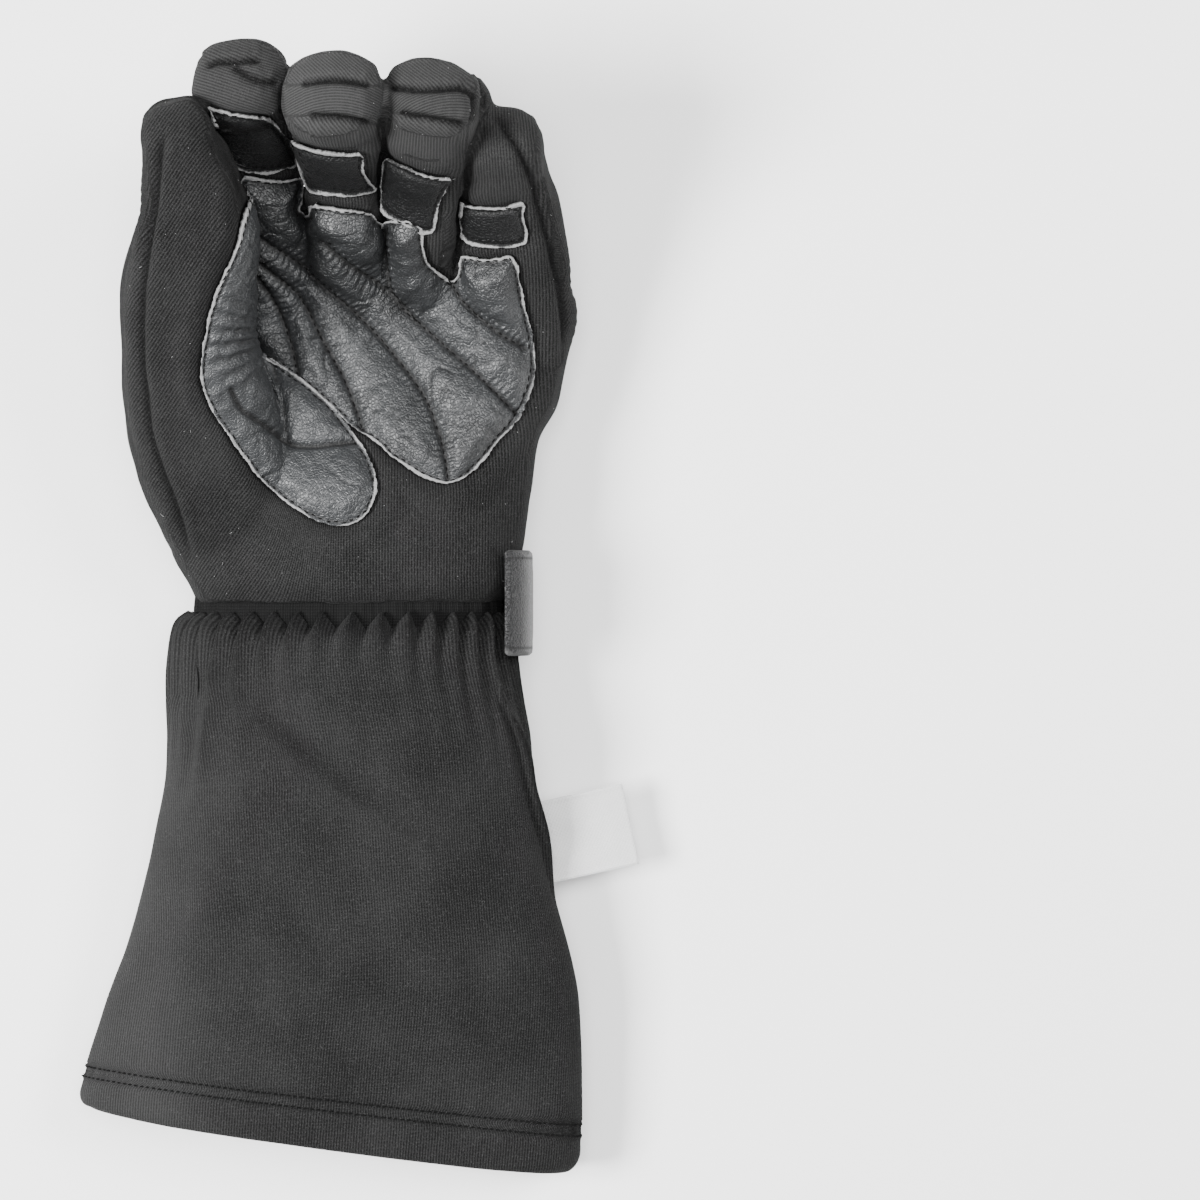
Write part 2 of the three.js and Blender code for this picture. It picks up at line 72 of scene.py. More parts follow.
def smoothPath(points, samples):
    # a centripetal curve through the points, at samples even steps of its length
    points = np.array(points, float)
    ends = np.vstack([2 * points[0] - points[1], points, 2 * points[-1] - points[-2]])
    before, a, b, after = (ends[i:len(ends) - 3 + i, None] for i in range(4))
    gap = [np.sqrt(np.maximum(np.linalg.norm(q - p, axis=-1, keepdims=True), 1e-4))
           for p, q in ((before, a), (a, b), (b, after))]
    slopeA = ((a - before) / gap[0] - (b - before) / (gap[0] + gap[1]) + (b - a) / gap[1]) * gap[1]
    slopeB = ((b - a) / gap[1] - (after - a) / (gap[1] + gap[2]) + (after - b) / gap[2]) * gap[1]
    t = np.linspace(0, 1, 60, endpoint=False)[None, :, None]
    curve = (a + slopeA * t + (-3 * a + 3 * b - 2 * slopeA - slopeB) * t**2
             + (2 * a - 2 * b + slopeA + slopeB) * t**3).reshape(-1, points.shape[1])
    curve = np.vstack([curve, points[-1]])
    run = np.r_[0, np.cumsum(np.linalg.norm(np.diff(curve, axis=0), axis=1))]
    at = np.linspace(0, run[-1], samples)
    return np.stack([np.interp(at, run, column) for column in curve.T], 1), run[-1]


def rounded(points, times=2, closed=False):
    # cuts the corners of a line a few times
    line = np.array(points, float)
    for _ in range(times):
        after = np.roll(line, -1, 0) if closed else line[1:]
        here = line if closed else line[:-1]
        cut = np.stack([0.8 * here + 0.2 * after, 0.2 * here + 0.8 * after], 1).reshape(-1, 2)
        line = cut if closed else np.vstack([line[:1], cut[1:-1], line[-1:]])
    return line


def near(points, line, closed=False):
    # distance from points to a line, how far along it the nearest place is, and which side it is on
    a = line if closed else line[:-1]
    b = np.roll(line, -1, 0) if closed else line[1:]
    way = b - a
    length = np.linalg.norm(way, axis=1)
    start = np.r_[0, np.cumsum(length)[:-1]]
    best = np.full(len(points), 1e9)
    along, side = np.zeros(len(points)), np.ones(len(points))
    for p, w, size, begin in zip(a, way, length, start):
        offset = points - p
        t = np.clip(offset @ w / size**2, 0, 1)
        gap = np.linalg.norm(offset - t[:, None] * w, axis=1)
        closer = gap < best - 1e-9
        best[closer], along[closer] = gap[closer], begin + t[closer] * size
        side[closer] = np.sign(w[0] * offset[closer, 1] - w[1] * offset[closer, 0])
    return best, along, side


def inside(points, outline):
    # distance to a closed outline, positive inside it
    gap = near(points, outline, closed=True)[0]
    x, y = points.T
    crossings = np.zeros(len(points), bool)
    for (x0, y0), (x1, y1) in zip(outline, np.roll(outline, -1, 0)):
        crosses = (y0 > y) != (y1 > y)
        crossings ^= crosses & (x < (x1 - x0) * (y - y0) / (y1 - y0 + 1e-12) + x0)
    return np.where(crossings, gap, -gap)


def seen(points):
    # where points appear on the floor from the camera
    far = 1 - points[:, 2:] / eye[2]
    return eye[:2] + (points[:, :2] - eye[:2]) / far


def ease(value, low, high):
    t = np.clip((value - low) / (high - low), 0, 1)
    return t * t * (3 - 2 * t)


def filled(value, fullness=0.87):
    return np.sign(value) * np.abs(value) ** fullness


def ripple(points, pitch, seed, octaves=3):
    # smooth noise about -1 to 1: sums of sines in seeded directions, each bent by the one before
    rng = np.random.default_rng(seed)
    total, weight = np.zeros(len(points)), 0
    for octave in range(octaves):
        scale = 2 * np.pi / pitch * 1.9**octave
        for _ in range(4):
            way = rng.normal(size=3)
            way *= scale / np.linalg.norm(way)
            bend = rng.normal(size=3)
            bend *= 0.6 * scale / np.linalg.norm(bend)
            total += 0.55**octave * np.sin(points @ way + 1.6 * np.sin(points @ bend + rng.uniform(0, 6)) + rng.uniform(0, 6))
        weight += 0.55**octave * 1.6
    return total / weight


# Meshes.

def normalsOf(points, faces):
    across = points[faces[:, 2]] - points[faces[:, 0]]
    other = points[faces[:, -1]] - points[faces[:, 1]]
    if faces.shape[1] == 3:
        other = points[faces[:, 2]] - points[faces[:, 1]]
        across = points[faces[:, 1]] - points[faces[:, 0]]
    flat = np.cross(across, other)
    total = np.stack([sum(np.bincount(column, flat[:, k], len(points)) for column in faces.T) for k in range(3)], 1)
    return total / np.maximum(np.linalg.norm(total, axis=1, keepdims=True), 1e-9)


def edgesOf(faces):
    pairs = np.concatenate([faces[:, [k, (k + 1) % faces.shape[1]]] for k in range(faces.shape[1])])
    return np.unique(np.sort(pairs, 1), axis=0)


def relaxed(points, faces, times, strength=0.5):
    # each point moves towards the mean of its neighbours
    edges = edgesOf(faces)
    ends = np.concatenate([edges, edges[:, ::-1]])
    count = np.bincount(ends[:, 0], minlength=len(points))[:, None]
    for _ in range(times):
        mean = np.stack([np.bincount(ends[:, 0], points[ends[:, 1], k], len(points)) for k in range(3)], 1) / count
        points = points + strength * (mean - points)
    return points


def hollowOf(points, faces, normals, times, scale):
    # how far each point lies below the mean of what surrounds it, as a share of scale
    return np.clip(((relaxed(points, faces, times) - points) * normals).sum(1) / scale, 0, 1)


def gridFaces(rows, columns, wrapped):
    # the quads of a grid of points, with its columns joined round where it is wrapped
    row = np.arange(rows - 1)[:, None] * columns
    column = np.arange(columns if wrapped else columns - 1)[None, :]
    after = (column + 1) % columns
    return np.stack([row + column, row + after, row + columns + after, row + columns + column], -1).reshape(-1, 4)


def makePiece(name, points, faces, material, node=None, fields=None, body="root"):
    mesh = bpy.data.meshes.new(name)
    mesh.from_pydata((points + shift) / 1000, [], faces)
    mesh.polygons.foreach_set("use_smooth", np.ones(len(mesh.polygons), bool))
    for field, values in (fields or {}).items():
        kind = "FLOAT" if values.ndim == 1 else "FLOAT_VECTOR"
        data = mesh.attributes.new(field, kind, "POINT").data
        data.foreach_set("value" if values.ndim == 1 else "vector", np.ascontiguousarray(values, np.float32).ravel())
    mesh.validate()
    mesh.update()
    mesh.materials.append(material)
    piece = bpy.data.objects.new(name, mesh)
    scene.collection.objects.link(piece)
    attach(piece, body)
    if node:
        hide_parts(*([node] if isinstance(node, str) else node))
    return piece


def worked(points, faces, kind, **settings):
    # points and quads after one modifier
    mesh = bpy.data.meshes.new("working")
    mesh.from_pydata(points / 1000, [], faces)
    holder = bpy.data.objects.new("working", mesh)
    scene.collection.objects.link(holder)
    change = holder.modifiers.new("change", kind)
    for key, value in settings.items():
        setattr(change, key, value)
    made = bpy.data.meshes.new_from_object(holder.evaluated_get(bpy.context.evaluated_depsgraph_get()))
    result = np.empty(len(made.vertices) * 3, np.float32)
    made.vertices.foreach_get("co", result)
    corners = np.empty(len(made.loops), np.int32)
    made.loops.foreach_get("vertex_index", corners)
    bpy.data.objects.remove(holder)
    bpy.data.meshes.remove(mesh)
    bpy.data.meshes.remove(made)
    return result.reshape(-1, 3).astype(float) * 1000, corners.reshape(-1, 4)


# Materials: sums of sockets are written as sums.

class Value:
    def __init__(self, paint, socket):
        self.paint, self.socket = paint, socket

    def math(self, operation, *values):
        return self.paint.node("Math", dict(operation=operation), values)

    def __add__(self, other): return self.math("ADD", self, other)
    def __radd__(self, other): return self.math("ADD", other, self)
    def __sub__(self, other): return self.math("SUBTRACT", self, other)
    def __rsub__(self, other): return self.math("SUBTRACT", other, self)
    def __mul__(self, other): return self.math("MULTIPLY", self, other)
    def __rmul__(self, other): return self.math("MULTIPLY", other, self)
    def __truediv__(self, other): return self.math("DIVIDE", self, other)
    def __pow__(self, other): return self.math("POWER", self, other)
    def sin(self): return self.math("SINE", self)
    def size(self): return self.math("ABSOLUTE", self)


class Paint:
    def __init__(self, name, roughness=0.9, **uniform):
        self.material = bpy.data.materials.new(name)
        self.material.use_nodes = True
        self.tree = self.material.node_tree
        self.shader = self.tree.nodes["Principled BSDF"]
        self.shader.inputs["Roughness"].default_value = roughness
        for key, value in uniform.items():
            self.shader.inputs[key.replace("_", " ")].default_value = value
        self.place = self.node("TexCoord", output="Object")

    def node(self, kind, settings=None, values=(), output=0):
        made = self.tree.nodes.new("ShaderNode" + kind)
        for key, value in (settings or {}).items():
            setattr(made, key, value)
        for key, value in (values.items() if isinstance(values, dict) else enumerate(values)):
            if isinstance(value, Value):
                self.tree.links.new(value.socket, made.inputs[key])
            else:
                made.inputs[key].default_value = value
        return Value(self, made.outputs[output])

    def noise(self, scale, detail=3, roughness=0.55, vector=None):
        return self.node("TexNoise", {}, dict(Vector=vector or self.place, Scale=scale, Detail=detail, Roughness=roughness))

    def bent(self, scale, reach):
        # the place moved about by a coloured noise
        drift = self.node("TexNoise", {}, dict(Vector=self.place, Scale=scale, Detail=2), output="Color")
        return self.node("VectorMath", dict(operation="MULTIPLY_ADD"), [drift, (reach,) * 3, self.place])

    def field(self, name, output="Fac"):
        return self.node("Attribute", dict(attribute_name=name), output=output)

    def parts(self, vector):
        split = self.node("SeparateXYZ", {}, [vector])
        return [Value(self, socket) for socket in split.socket.node.outputs]

    def step(self, value, low, high):
        return self.node("MapRange", dict(interpolation_type="SMOOTHSTEP"), [value, low, high, 0.0, 1.0])

    def mix(self, share, first, second):
        return self.node("Mix", dict(data_type="RGBA"), {0: share, 6: first, 7: second}, output=2)

    def grey(self, level, cast=(1, 1, 1)):
        return (level * cast[0], level * cast[1], level * cast[2], 1)

    def finish(self, colour, height=None, distance=0.001, strength=1.0, roughness=None):
        self.tree.links.new(colour.socket, self.shader.inputs["Base Color"])
        if roughness is not None:
            self.tree.links.new(roughness.socket, self.shader.inputs["Roughness"])
        if height is not None:
            bump = self.node("Bump", {}, dict(Strength=strength, Distance=distance, Height=height))
            self.tree.links.new(bump.socket, self.shader.inputs["Normal"])
        return self.material


ribKnit = dict(dark=0.003, light=0.021, dust=0.05, pitch=0.88, loop=0.8)


def knitPaint(name, knit):
    # ribs are waves of the field weave's x, loops waves of its y; fuzz and dust are fine noise
    paint = Paint(name, 0.95, Sheen_Weight=0.02, Sheen_Roughness=0.5, Specular_IOR_Level=0.05)
    across, along, _ = paint.parts(paint.field("weave", "Vector"))
    wander = paint.noise(260, 2) * 1.1
    rib = (across * (6.2832 / knit["pitch"]) + wander).sin() * 0.5 + 0.5
    loop = (along * (6.2832 / knit["loop"]) + rib * 2.2 + wander * 2).sin() * 0.5 + 0.5
    fuzz = paint.noise(2600, 4, 0.7)
    cloud = paint.noise(38, 3)
    # painted shade: this field darkens the knit in seam grooves and hollows
    creaseShade = paint.field("creaseShade")
    tone = paint.step(rib * 0.36 + loop * 0.12 + fuzz * 0.95 + cloud * 0.5, 0.62, 1.3) * (1 - creaseShade * 0.9)
    colour = paint.mix(tone, paint.grey(knit["dark"]), paint.grey(knit["light"]))
    dust = paint.step(paint.noise(1500, 2, 0.8), 0.62, 0.78) * paint.step(cloud, 0.35, 0.65)
    colour = paint.mix(paint.step(fuzz, 0.52, 0.7) * 0.5, colour, paint.grey(knit["light"] * 2.6))
    # painted light: this field pales the knit where the light falls, on the tips and on the cuff's left side
    colour = paint.mix(paint.field("litKnit") * (0.5 + rib * 0.5), colour, paint.grey(knit["light"] * 2.4))
    colour = paint.mix(dust * 0.5, colour, paint.grey(knit["dust"]))
    return paint.finish(colour, rib * 0.5 + loop * 0.15 + fuzz * 0.6, 0.00035, 0.8)


hide = dict(dark=0.003, light=0.01, cast=(0.95, 1.0, 1.05), grain=900, suede=0.22, gloss=0.46, shine=0.32)


def leatherPaint(name, leather):
    # the field edge is the distance to the cut edge, and the second field is painted light: how much the grain is paled
    # where light falls on it
    paint = Paint(name, leather["gloss"], Specular_IOR_Level=leather["shine"])
    edge, litShare = paint.field("edge"), paint.field("litShare")
    grain = paint.node("TexVoronoi", dict(feature="DISTANCE_TO_EDGE"),
                       dict(Vector=paint.bent(260, 0.0012), Scale=leather["grain"]))
    cell = paint.step(grain, 0.0, 0.22)
    crinkle = paint.noise(480, 4, 0.6)
    pores = paint.noise(1900, 4, 0.7)
    cloud = paint.noise(55, 4)
    tone = paint.step(cloud * 0.7 + crinkle * 0.5 + pores * 0.3 + litShare * 0.45, 0.5, 1.3)
    colour = paint.mix(tone, paint.grey(leather["dark"], leather["cast"]), paint.grey(leather["light"], leather["cast"]))
    # painted highlight: pale glints on the grain, strongest where the painted light is
    paintedGlint = paint.step(pores * 0.6 + crinkle * 0.5, 0.6, 0.78) * litShare
    colour = paint.mix(paintedGlint * 0.2, colour, paint.grey(0.09, leather["cast"]))
    # painted shade: hollows and quilting valleys are darkened almost to black
    shade = paint.step(paint.field("hollowShade"), 0.05, 0.9)
    colour = paint.mix(shade * 0.9, colour, paint.grey(0.0015))
    ragged = paint.noise(900, 4, 0.75)
    wide = paint.noise(90, 1)
    rim = 1 - paint.step(edge + (ragged - 0.5) * 1.1 - (wide - 0.5) * 2.2, 0.2, 0.65)
    fibre = paint.noise(2400, 3, 0.8)
    suede = paint.mix(paint.step(fibre, 0.3, 0.7), paint.grey(leather["suede"] * 0.6), paint.grey(leather["suede"] * 1.2))
    colour = paint.mix(rim, colour, suede)
    height = (cell * 0.4 + crinkle * 0.6 + pores * 0.15) * (1 - rim) + rim * fibre * 0.6
    rough = leather["gloss"] + pores * 0.12 + rim * 0.45 + shade * 0.3
    return paint.finish(colour, height, 0.00042, 0.75, rough)


def clothPaint(name, dark, light, pitch, roughness=0.9, sheen=0.05):
    # a plain weave of two crossed waves on the field weave, with fine noise
    paint = Paint(name, roughness, Sheen_Weight=sheen, Specular_IOR_Level=0.15)
    across, along, _ = paint.parts(paint.field("weave", "Vector"))
    warp = (across * (6.2832 / pitch)).sin() * 0.5 + 0.5
    weft = (along * (6.2832 / pitch)).sin() * 0.5 + 0.5
    fine = paint.noise(1700, 4, 0.7)
    cloud = paint.noise(60, 3)
    tone = paint.step(warp * 0.35 + weft * 0.3 + fine * 0.45 + cloud * 0.4, 0.4, 1.2)
    return paint.finish(paint.mix(tone, paint.grey(dark), paint.grey(light)), warp * 0.5 + weft * 0.5 + fine * 0.4, 0.0004, 0.8)


print("tables and materials ready")
knitBlack = knitPaint("knitBlack", ribKnit)
cuffBlack = knitPaint("cuffBlack", dict(ribKnit, dark=0.004, light=0.02, pitch=0.84, loop=1.1))
padHide = leatherPaint("padHide", dict(hide, dark=0.0015, light=0.006, shine=0.26))
palmHide = leatherPaint("palmHide", dict(hide, dark=0.008, light=0.025, gloss=0.35, shine=0.45))
strapHide = leatherPaint("strapHide", dict(hide, dark=0.006, light=0.016, suede=0.07, cast=(1, 1, 1.05), gloss=0.34, shine=0.3))
elasticBlack = clothPaint("elasticBlack", 0.002, 0.006, 0.9, sheen=0)
labelWhite = clothPaint("labelWhite", 0.7, 0.88, 0.45)
threadBlack = clothPaint("threadBlack", 0.001, 0.004, 0.3, sheen=0)
lintGrey = clothPaint("lintGrey", 0.2, 0.4, 0.5)

# The padded knit body: the hand and the five digits.
handSections = [
    [0, -.37, .53, .12, 1.02, 0, 0], [.035, -.385, .553, .1, 1.1, 0, 0], [.07, -.405, .572, .085, 1.13, 0, 0],
    [.125, -.44, .585, .08, 1.13, 0, 0], [.19, -.45, .6, .07, 1.12, .01, 0], [.3, -.43, .618, 0, 1.09, .03, 0],
    [.45, -.39, .638, -.05, 1.04, .09, 0], [.55, -.36, .687, -.05, 1.01, .13, .02],
    [.68, -.33, .716, -.05, .98, .17, .06], [.82, -.272, .743, .02, .98, .15, .14],
    [.93, -.243, .752, .17, 1, .06, .24], [1, -.204, .72, .35, .98, 0, .3]]
fingers = dict(
    index=dict(knuckle=(-.126, .804, .609), bones=(.555, .29, .09), lift=(30, 50, 84), lean=-6.8, widths=(.75, .86, 1)),
    middle=dict(knuckle=(.087, .848, .587), bones=(.538, .323, .14), lift=(44, 62, 80), lean=-2, widths=(.75, .86, 1.02)),
    ring=dict(knuckle=(.268, .83, .565), bones=(.467, .31, .165), lift=(45, 51, 70), lean=7.7, widths=(.75, .84, .99)),
    little=dict(knuckle=(.572, .75, .587), bones=(.398, .226, .118), lift=(30, 45, 62), lean=-4, widths=(1.18, 1.1, .87)))
thumbSections = [
    [-.233, .196, .609, .56, .48], [-.311, .366, .783, .6, .51], [-.364, .545, .978, .56, .5],
    [-.383, .714, 1.196, .507, .475], [-.375, .848, 1.391, .49, .46], [-.338, 1.009, 1.63, .427, .42],
    [-.354, 1.107, 1.761, .345, .37], [-.379, 1.214, 1.913, .275, .31]]
bodyLook = dict(voxel=0.95, smoothing=4, folds=0.6, seamDepth=1.5, contactDepth=1.6, liningDepth=60)


def handSkin(rows, columns):
    # sections across the hand: rounded rectangles, the palm side hollowed by a bell, leaning back at the little finger
    length, width, height = sizes["palmLength"], sizes["palmWidth"], sizes["palmHeight"]
    at = np.linspace(0, 1, rows)
    left, right, bottom, top, cup, lean = (column[:, None] for column in rowAt(handSections, at).T)
    angle = np.arange(columns) / columns * 2 * np.pi
    x = (left + right) / 2 * width + (right - left) / 2 * width * filled(np.cos(angle))
    z = (bottom + top) / 2 * height + (top - bottom) / 2 * height * filled(np.sin(angle))
    z -= cup * height * np.maximum(np.sin(angle), 0) * np.exp(-(((x - .2 * width) / (.28 * width))**2))
    y = at[:, None] * length - lean * np.maximum(x - .2 * width, 0)
    return np.stack([x, y, np.maximum(z, 0)], -1)


def digitLine(name, samples=90):
    # middle, directions along, up and across, and half sizes at even steps of a digit
    unit = np.array([sizes["palmWidth"], sizes["palmLength"], sizes["palmHeight"]])
    if name == "thumb":
        table = np.array(thumbSections)
        middle, length = smoothPath(table[:, :3] * unit, samples)
        gaps = np.r_[0, np.cumsum(np.linalg.norm(np.diff(table[:, :3] * unit, axis=0), axis=1))]
        half = rowAt(np.column_stack([gaps / gaps[-1], table[:, 3:]]), np.linspace(0, 1, samples)) * sizes["thumbWidth"]
        cap = .29 * sizes["thumbWidth"]
    else:
        row = fingers[name]
        points = [np.array(row["knuckle"]) * unit]

        def way(angle):
            up, side = np.radians(angle), np.radians(row["lean"])
            return np.array([np.sin(side) * np.cos(up), np.cos(side) * np.cos(up), np.sin(up)]) * sizes["fingerLength"]
        points.insert(0, points[0] - .14 * way(row["lift"][0] - 25))
        for bone, lift in zip(row["bones"], row["lift"]):
            start = points[-1]
            points += [start + way(lift) * bone / 2, start + way(lift) * bone]
        middle, length = smoothPath(points, samples)
        root, knuckle, tip = row["widths"]
        at = np.linspace(0, 1, samples)
        width = rowAt([[0, .86 * root], [.25, root], [.62, knuckle], [.86, tip], [1, tip]], at)[:, 0]
        height = (.42 + .02 * at) * min(1, .3 + .7 * tip) * np.ones(samples)
        half = np.stack([width / 2, height], 1) * sizes["fingerWidth"]
        cap = .34 * sizes["fingerWidth"]
    along = np.gradient(middle, axis=0)
    along /= np.linalg.norm(along, axis=1, keepdims=True)
    up = np.array([0, 0, 1]) - along * along[:, 2:]
    up /= np.linalg.norm(up, axis=1, keepdims=True)
    return dict(middle=middle, along=along, up=up, across=np.cross(along, up), half=half, cap=cap, length=length)


digits = {name: digitLine(name) for name in ("index", "middle", "ring", "little", "thumb")}


def digitSkin(digit, columns=48):
    # rings round the digit's line, closing over the tip by a full curve
    share = np.array([.2, .4, .6, .75, .87, .95, .99])
    ease2 = (1 - share**2.4) ** (1 / 2.4)
    middle = np.vstack([digit["middle"], digit["middle"][-1] + share[:, None] * digit["cap"] * digit["along"][-1]])
    half = np.vstack([digit["half"], ease2[:, None] * digit["half"][-1]])
    up, across = (np.vstack([digit[k], np.repeat(digit[k][-1:], len(share), 0)]) for k in ("up", "across"))
    angle = np.arange(columns) / columns * 2 * np.pi
    return (middle[:, None] + across[:, None] * (half[:, :1] * filled(np.cos(angle)))[..., None]
            + up[:, None] * (half[:, 1:] * filled(np.sin(angle)))[..., None])


def closedLoft(rings):
    # a grid of rings with both ends closed by quads to the middle point
    rows, columns = rings.shape[:2]
    points = np.vstack([rings.reshape(-1, 3), rings[0].mean(0), rings[-1].mean(0)])
    pair = np.arange(0, columns, 2)
    end = (rows - 1) * columns
    start = np.stack([pair * 0 + rows * columns, (pair + 2) % columns, pair + 1, pair], 1)
    close = np.stack([pair * 0 + rows * columns + 1, end + pair, end + pair + 1, end + (pair + 2) % columns], 1)
    return points, np.vstack([gridFaces(rows, columns, True), start, close])


def digitFields(points, digit):
    # distance outside the digit's skin, share along it and angle from its upward side
    middle = digit["middle"]
    gap = (points**2).sum(1)[:, None] - 2 * points @ middle.T + (middle**2).sum(1)
    i = gap.argmin(1)
    offset = points - middle[i]
    ahead = (offset * digit["along"][i]).sum(1)
    x, z = (offset * digit["across"][i]).sum(1), (offset * digit["up"][i]).sum(1)
    half = digit["half"][i]
    past = np.where(i == len(middle) - 1, np.maximum(ahead, 0), 0) / digit["cap"]
    ratio = ((np.abs(x) / half[:, 0])**2.3 + (np.abs(z) / half[:, 1])**2.3 + past**2.3) ** (1 / 2.3)
    share = i / (len(middle) - 1) + ahead / digit["length"]
    return (ratio - 1) * half.min(1), share, np.degrees(np.arctan2(x, z)), x, z


def roundForm(middle, half, columns=32):
    # an ellipsoid as rings from pole to pole
    rise = np.linspace(-1.45, 1.45, 15)[:, None]
    around = np.arange(columns)[None] / columns * 2 * np.pi
    ring = np.stack([np.cos(rise) * np.cos(around), np.sin(rise) + 0 * around, -np.cos(rise) * np.sin(around)], -1)
    return np.array(middle) + ring * half


# the ring finger's back shows beside its tip, against the little finger
ringBack = dict(middle=(44.5, 145, 68), half=(8.5, 12, 13))
parts = [closedLoft(handSkin(60, 96))] + [closedLoft(digitSkin(digit)) for digit in digits.values()]
parts.append(closedLoft(roundForm(**ringBack)))
counts = np.cumsum([0] + [len(points) for points, _ in parts])
rough = np.vstack([points for points, _ in parts])
roughFaces = np.vstack([faces + start for (_, faces), start in zip(parts, counts)])
base, baseFaces = worked(rough, roughFaces, "REMESH", mode="VOXEL", voxel_size=bodyLook["voxel"] / 1000)
base = relaxed(base, baseFaces, bodyLook["smoothing"])
# the knit is smoother where the little finger meets the hand's side, and over the roots of the fingers
smooth = relaxed(base, baseFaces, 70)
side = np.exp(-(((base - [74, 92, 22]) / [16, 26, 24])**2).sum(1))
roots = .85 * np.exp(-(((base - [16, 95, 46]) / [36, 13, 20])**2).sum(1))
base = base + np.maximum(side, roots)[:, None] * (smooth - base)
print("knit body", len(base), "points")

# Lines as they appear from the camera, in millimetres on the floor.
palmLine = rounded([
    (-27, 132.8), (-21.5, 131.8), (-15.4, 131.1), (-8.9, 132), (-8.7, 129.4), (-9.3, 126.7), (-9.1, 125),
    (-9.9, 122.2), (-8.2, 120.6), (-6.6, 120), (-5.4, 120.4), (-5, 121.8), (-4.8, 123.7), (2, 122.8), (12.8, 121.7),
    (13.7, 119.8), (15.8, 118), (18, 116.4), (17.8, 118.8), (23.2, 119.2), (28.8, 118.1), (29.4, 114.1), (29.8, 109.4),
    (31, 105), (35.6, 101.7), (38.4, 99.8), (40.3, 102.1), (41.5, 106.9), (42.3, 108.2), (47.2, 107.2), (52.1, 107.4),
    (57.1, 108.2), (58.6, 105), (59.6, 99.5), (60.8, 93.1), (62, 88.2), (63.3, 81.7), (64, 75.8), (63.8, 71.4),
    (62.5, 65.9), (60.6, 61), (58.1, 56.5), (53.6, 51.6), (49.2, 45.7), (45.7, 41.7), (41.8, 38.3), (37.3, 36.5),
    (32.9, 37.5), (28.4, 39.5), (23.5, 42.7), (19, 45.7), (15.6, 49.1), (12.6, 51.4), (8.6, 53.6), (3.7, 58.3),
    (-.9, 62.3), (-5.6, 66.3), (-9.2, 69.5), (-13.5, 72.3), (-16.7, 73.9), (-22.3, 77.2), (-30, 82.8), (-31, 93.9),
    (-28, 109.4), (-27.5, 121.8)], 1, True)
thumbLine = rounded([
    (-24.1, 127.2), (-25.8, 121.7), (-27.4, 115), (-29.7, 107.8), (-32.5, 102.7), (-35.3, 96.4), (-37.2, 90.1),
    (-38.6, 82.6), (-39.8, 74.6), (-39.8, 68.8), (-38.1, 63.5), (-35.3, 58.3), (-31.6, 52.7), (-26.4, 45),
    (-20.8, 37.8), (-13.3, 31.3), (-5.3, 26), (.6, 24), (5.6, 23.7), (9.9, 25.4), (13, 28.5), (15, 33.8), (14.9, 38.8),
    (12.4, 45.9), (7.4, 53.3), (.9, 61.5), (-5, 66.7), (-10.5, 70.8), (-15.2, 73.9), (-18, 76.3), (-12, 81.5),
    (-12, 128)], 1, True)
padLines = dict(
    index=[(-37.4, 154.6), (-34.6, 153.3), (-28.5, 152), (-17.6, 150.4), (-15.8, 147.9), (-13, 144.5), (-11.5, 140.4),
           (-9.8, 135.9), (-14.6, 134.8), (-19.8, 133.7), (-25, 134.1), (-29.8, 136.3), (-31.5, 138.5), (-34.1, 143.7),
           (-36.3, 149.4)],
    middle=[(-12, 144.2), (-8.9, 141.9), (-2.4, 140), (3.3, 139.3), (11.1, 139.8), (10.2, 135.4), (12, 132),
            (13.9, 129.4), (13.7, 128), (6.3, 126.9), (-.2, 127.2), (-5.9, 128.5), (-7.8, 133.6), (-9.8, 138.5)],
    ring=[(17.8, 138.7), (21.8, 136.3), (28.9, 133.5), (34.6, 132.3), (38.4, 132.1), (35.6, 127.3), (33.6, 121.6),
          (32.7, 115.4), (28.9, 115.2), (24.1, 117.8), (19.4, 120.2), (16.1, 123.5), (15.8, 127.8), (16.6, 133.5)],
    little=[(40.1, 124.7), (43.1, 123.5), (50.3, 122.8), (55, 123.3), (60.9, 124.7), (60.2, 120.2), (61.6, 115.9),
            (61.2, 112.1), (57.4, 110.9), (50.3, 110.9), (44.1, 111.9), (41.7, 114), (40.1, 118.8)])
padLines = {name: rounded(line, 1, True) for name, line in padLines.items()}
seams = dict(
    thumbSide=[(-51.1, 147.2), (-52.4, 137.9), (-54.2, 120.9), (-56.1, 109.4), (-57, 98.6), (-57.5, 86.2),
               (-57.4, 74.1), (-56.4, 62.9), (-55.2, 52.7), (-52.1, 41.2), (-47.7, 31.3), (-44.6, 20.8), (-40.9, 10.2)],
    littleSide=[(51.1, 151.6), (54.6, 147.2), (59.2, 141.1), (62.6, 131.1), (64.5, 124), (67, 114.4), (70.1, 103.8),
                (71.9, 93.9), (72.5, 83.1), (71.3, 72.2)],
    indexOver=[(-38.1, 166.2), (-34, 167.6), (-29.8, 167.7), (-20.5, 168.3)],
    indexUnder=[(-29.8, 166.5), (-25, 163.4), (-20.5, 161.5), (-14.9, 161.5)],
    middleOver=[(-8.7, 160.9), (2.5, 162.4), (13.6, 160.6)],
    middleUnder=[(-6.2, 151.3), (3.7, 151), (13.6, 148.5)],
    ringOver=[(18, 160), (30.1, 159), (41.8, 159.7), (45.3, 157.5), (45.5, 152), (44, 148.5)],
    ringUnder=[(21.4, 151.9), (30.1, 150.7), (42.5, 148.5)])
seams = {name: rounded(line, 2) for name, line in seams.items()}
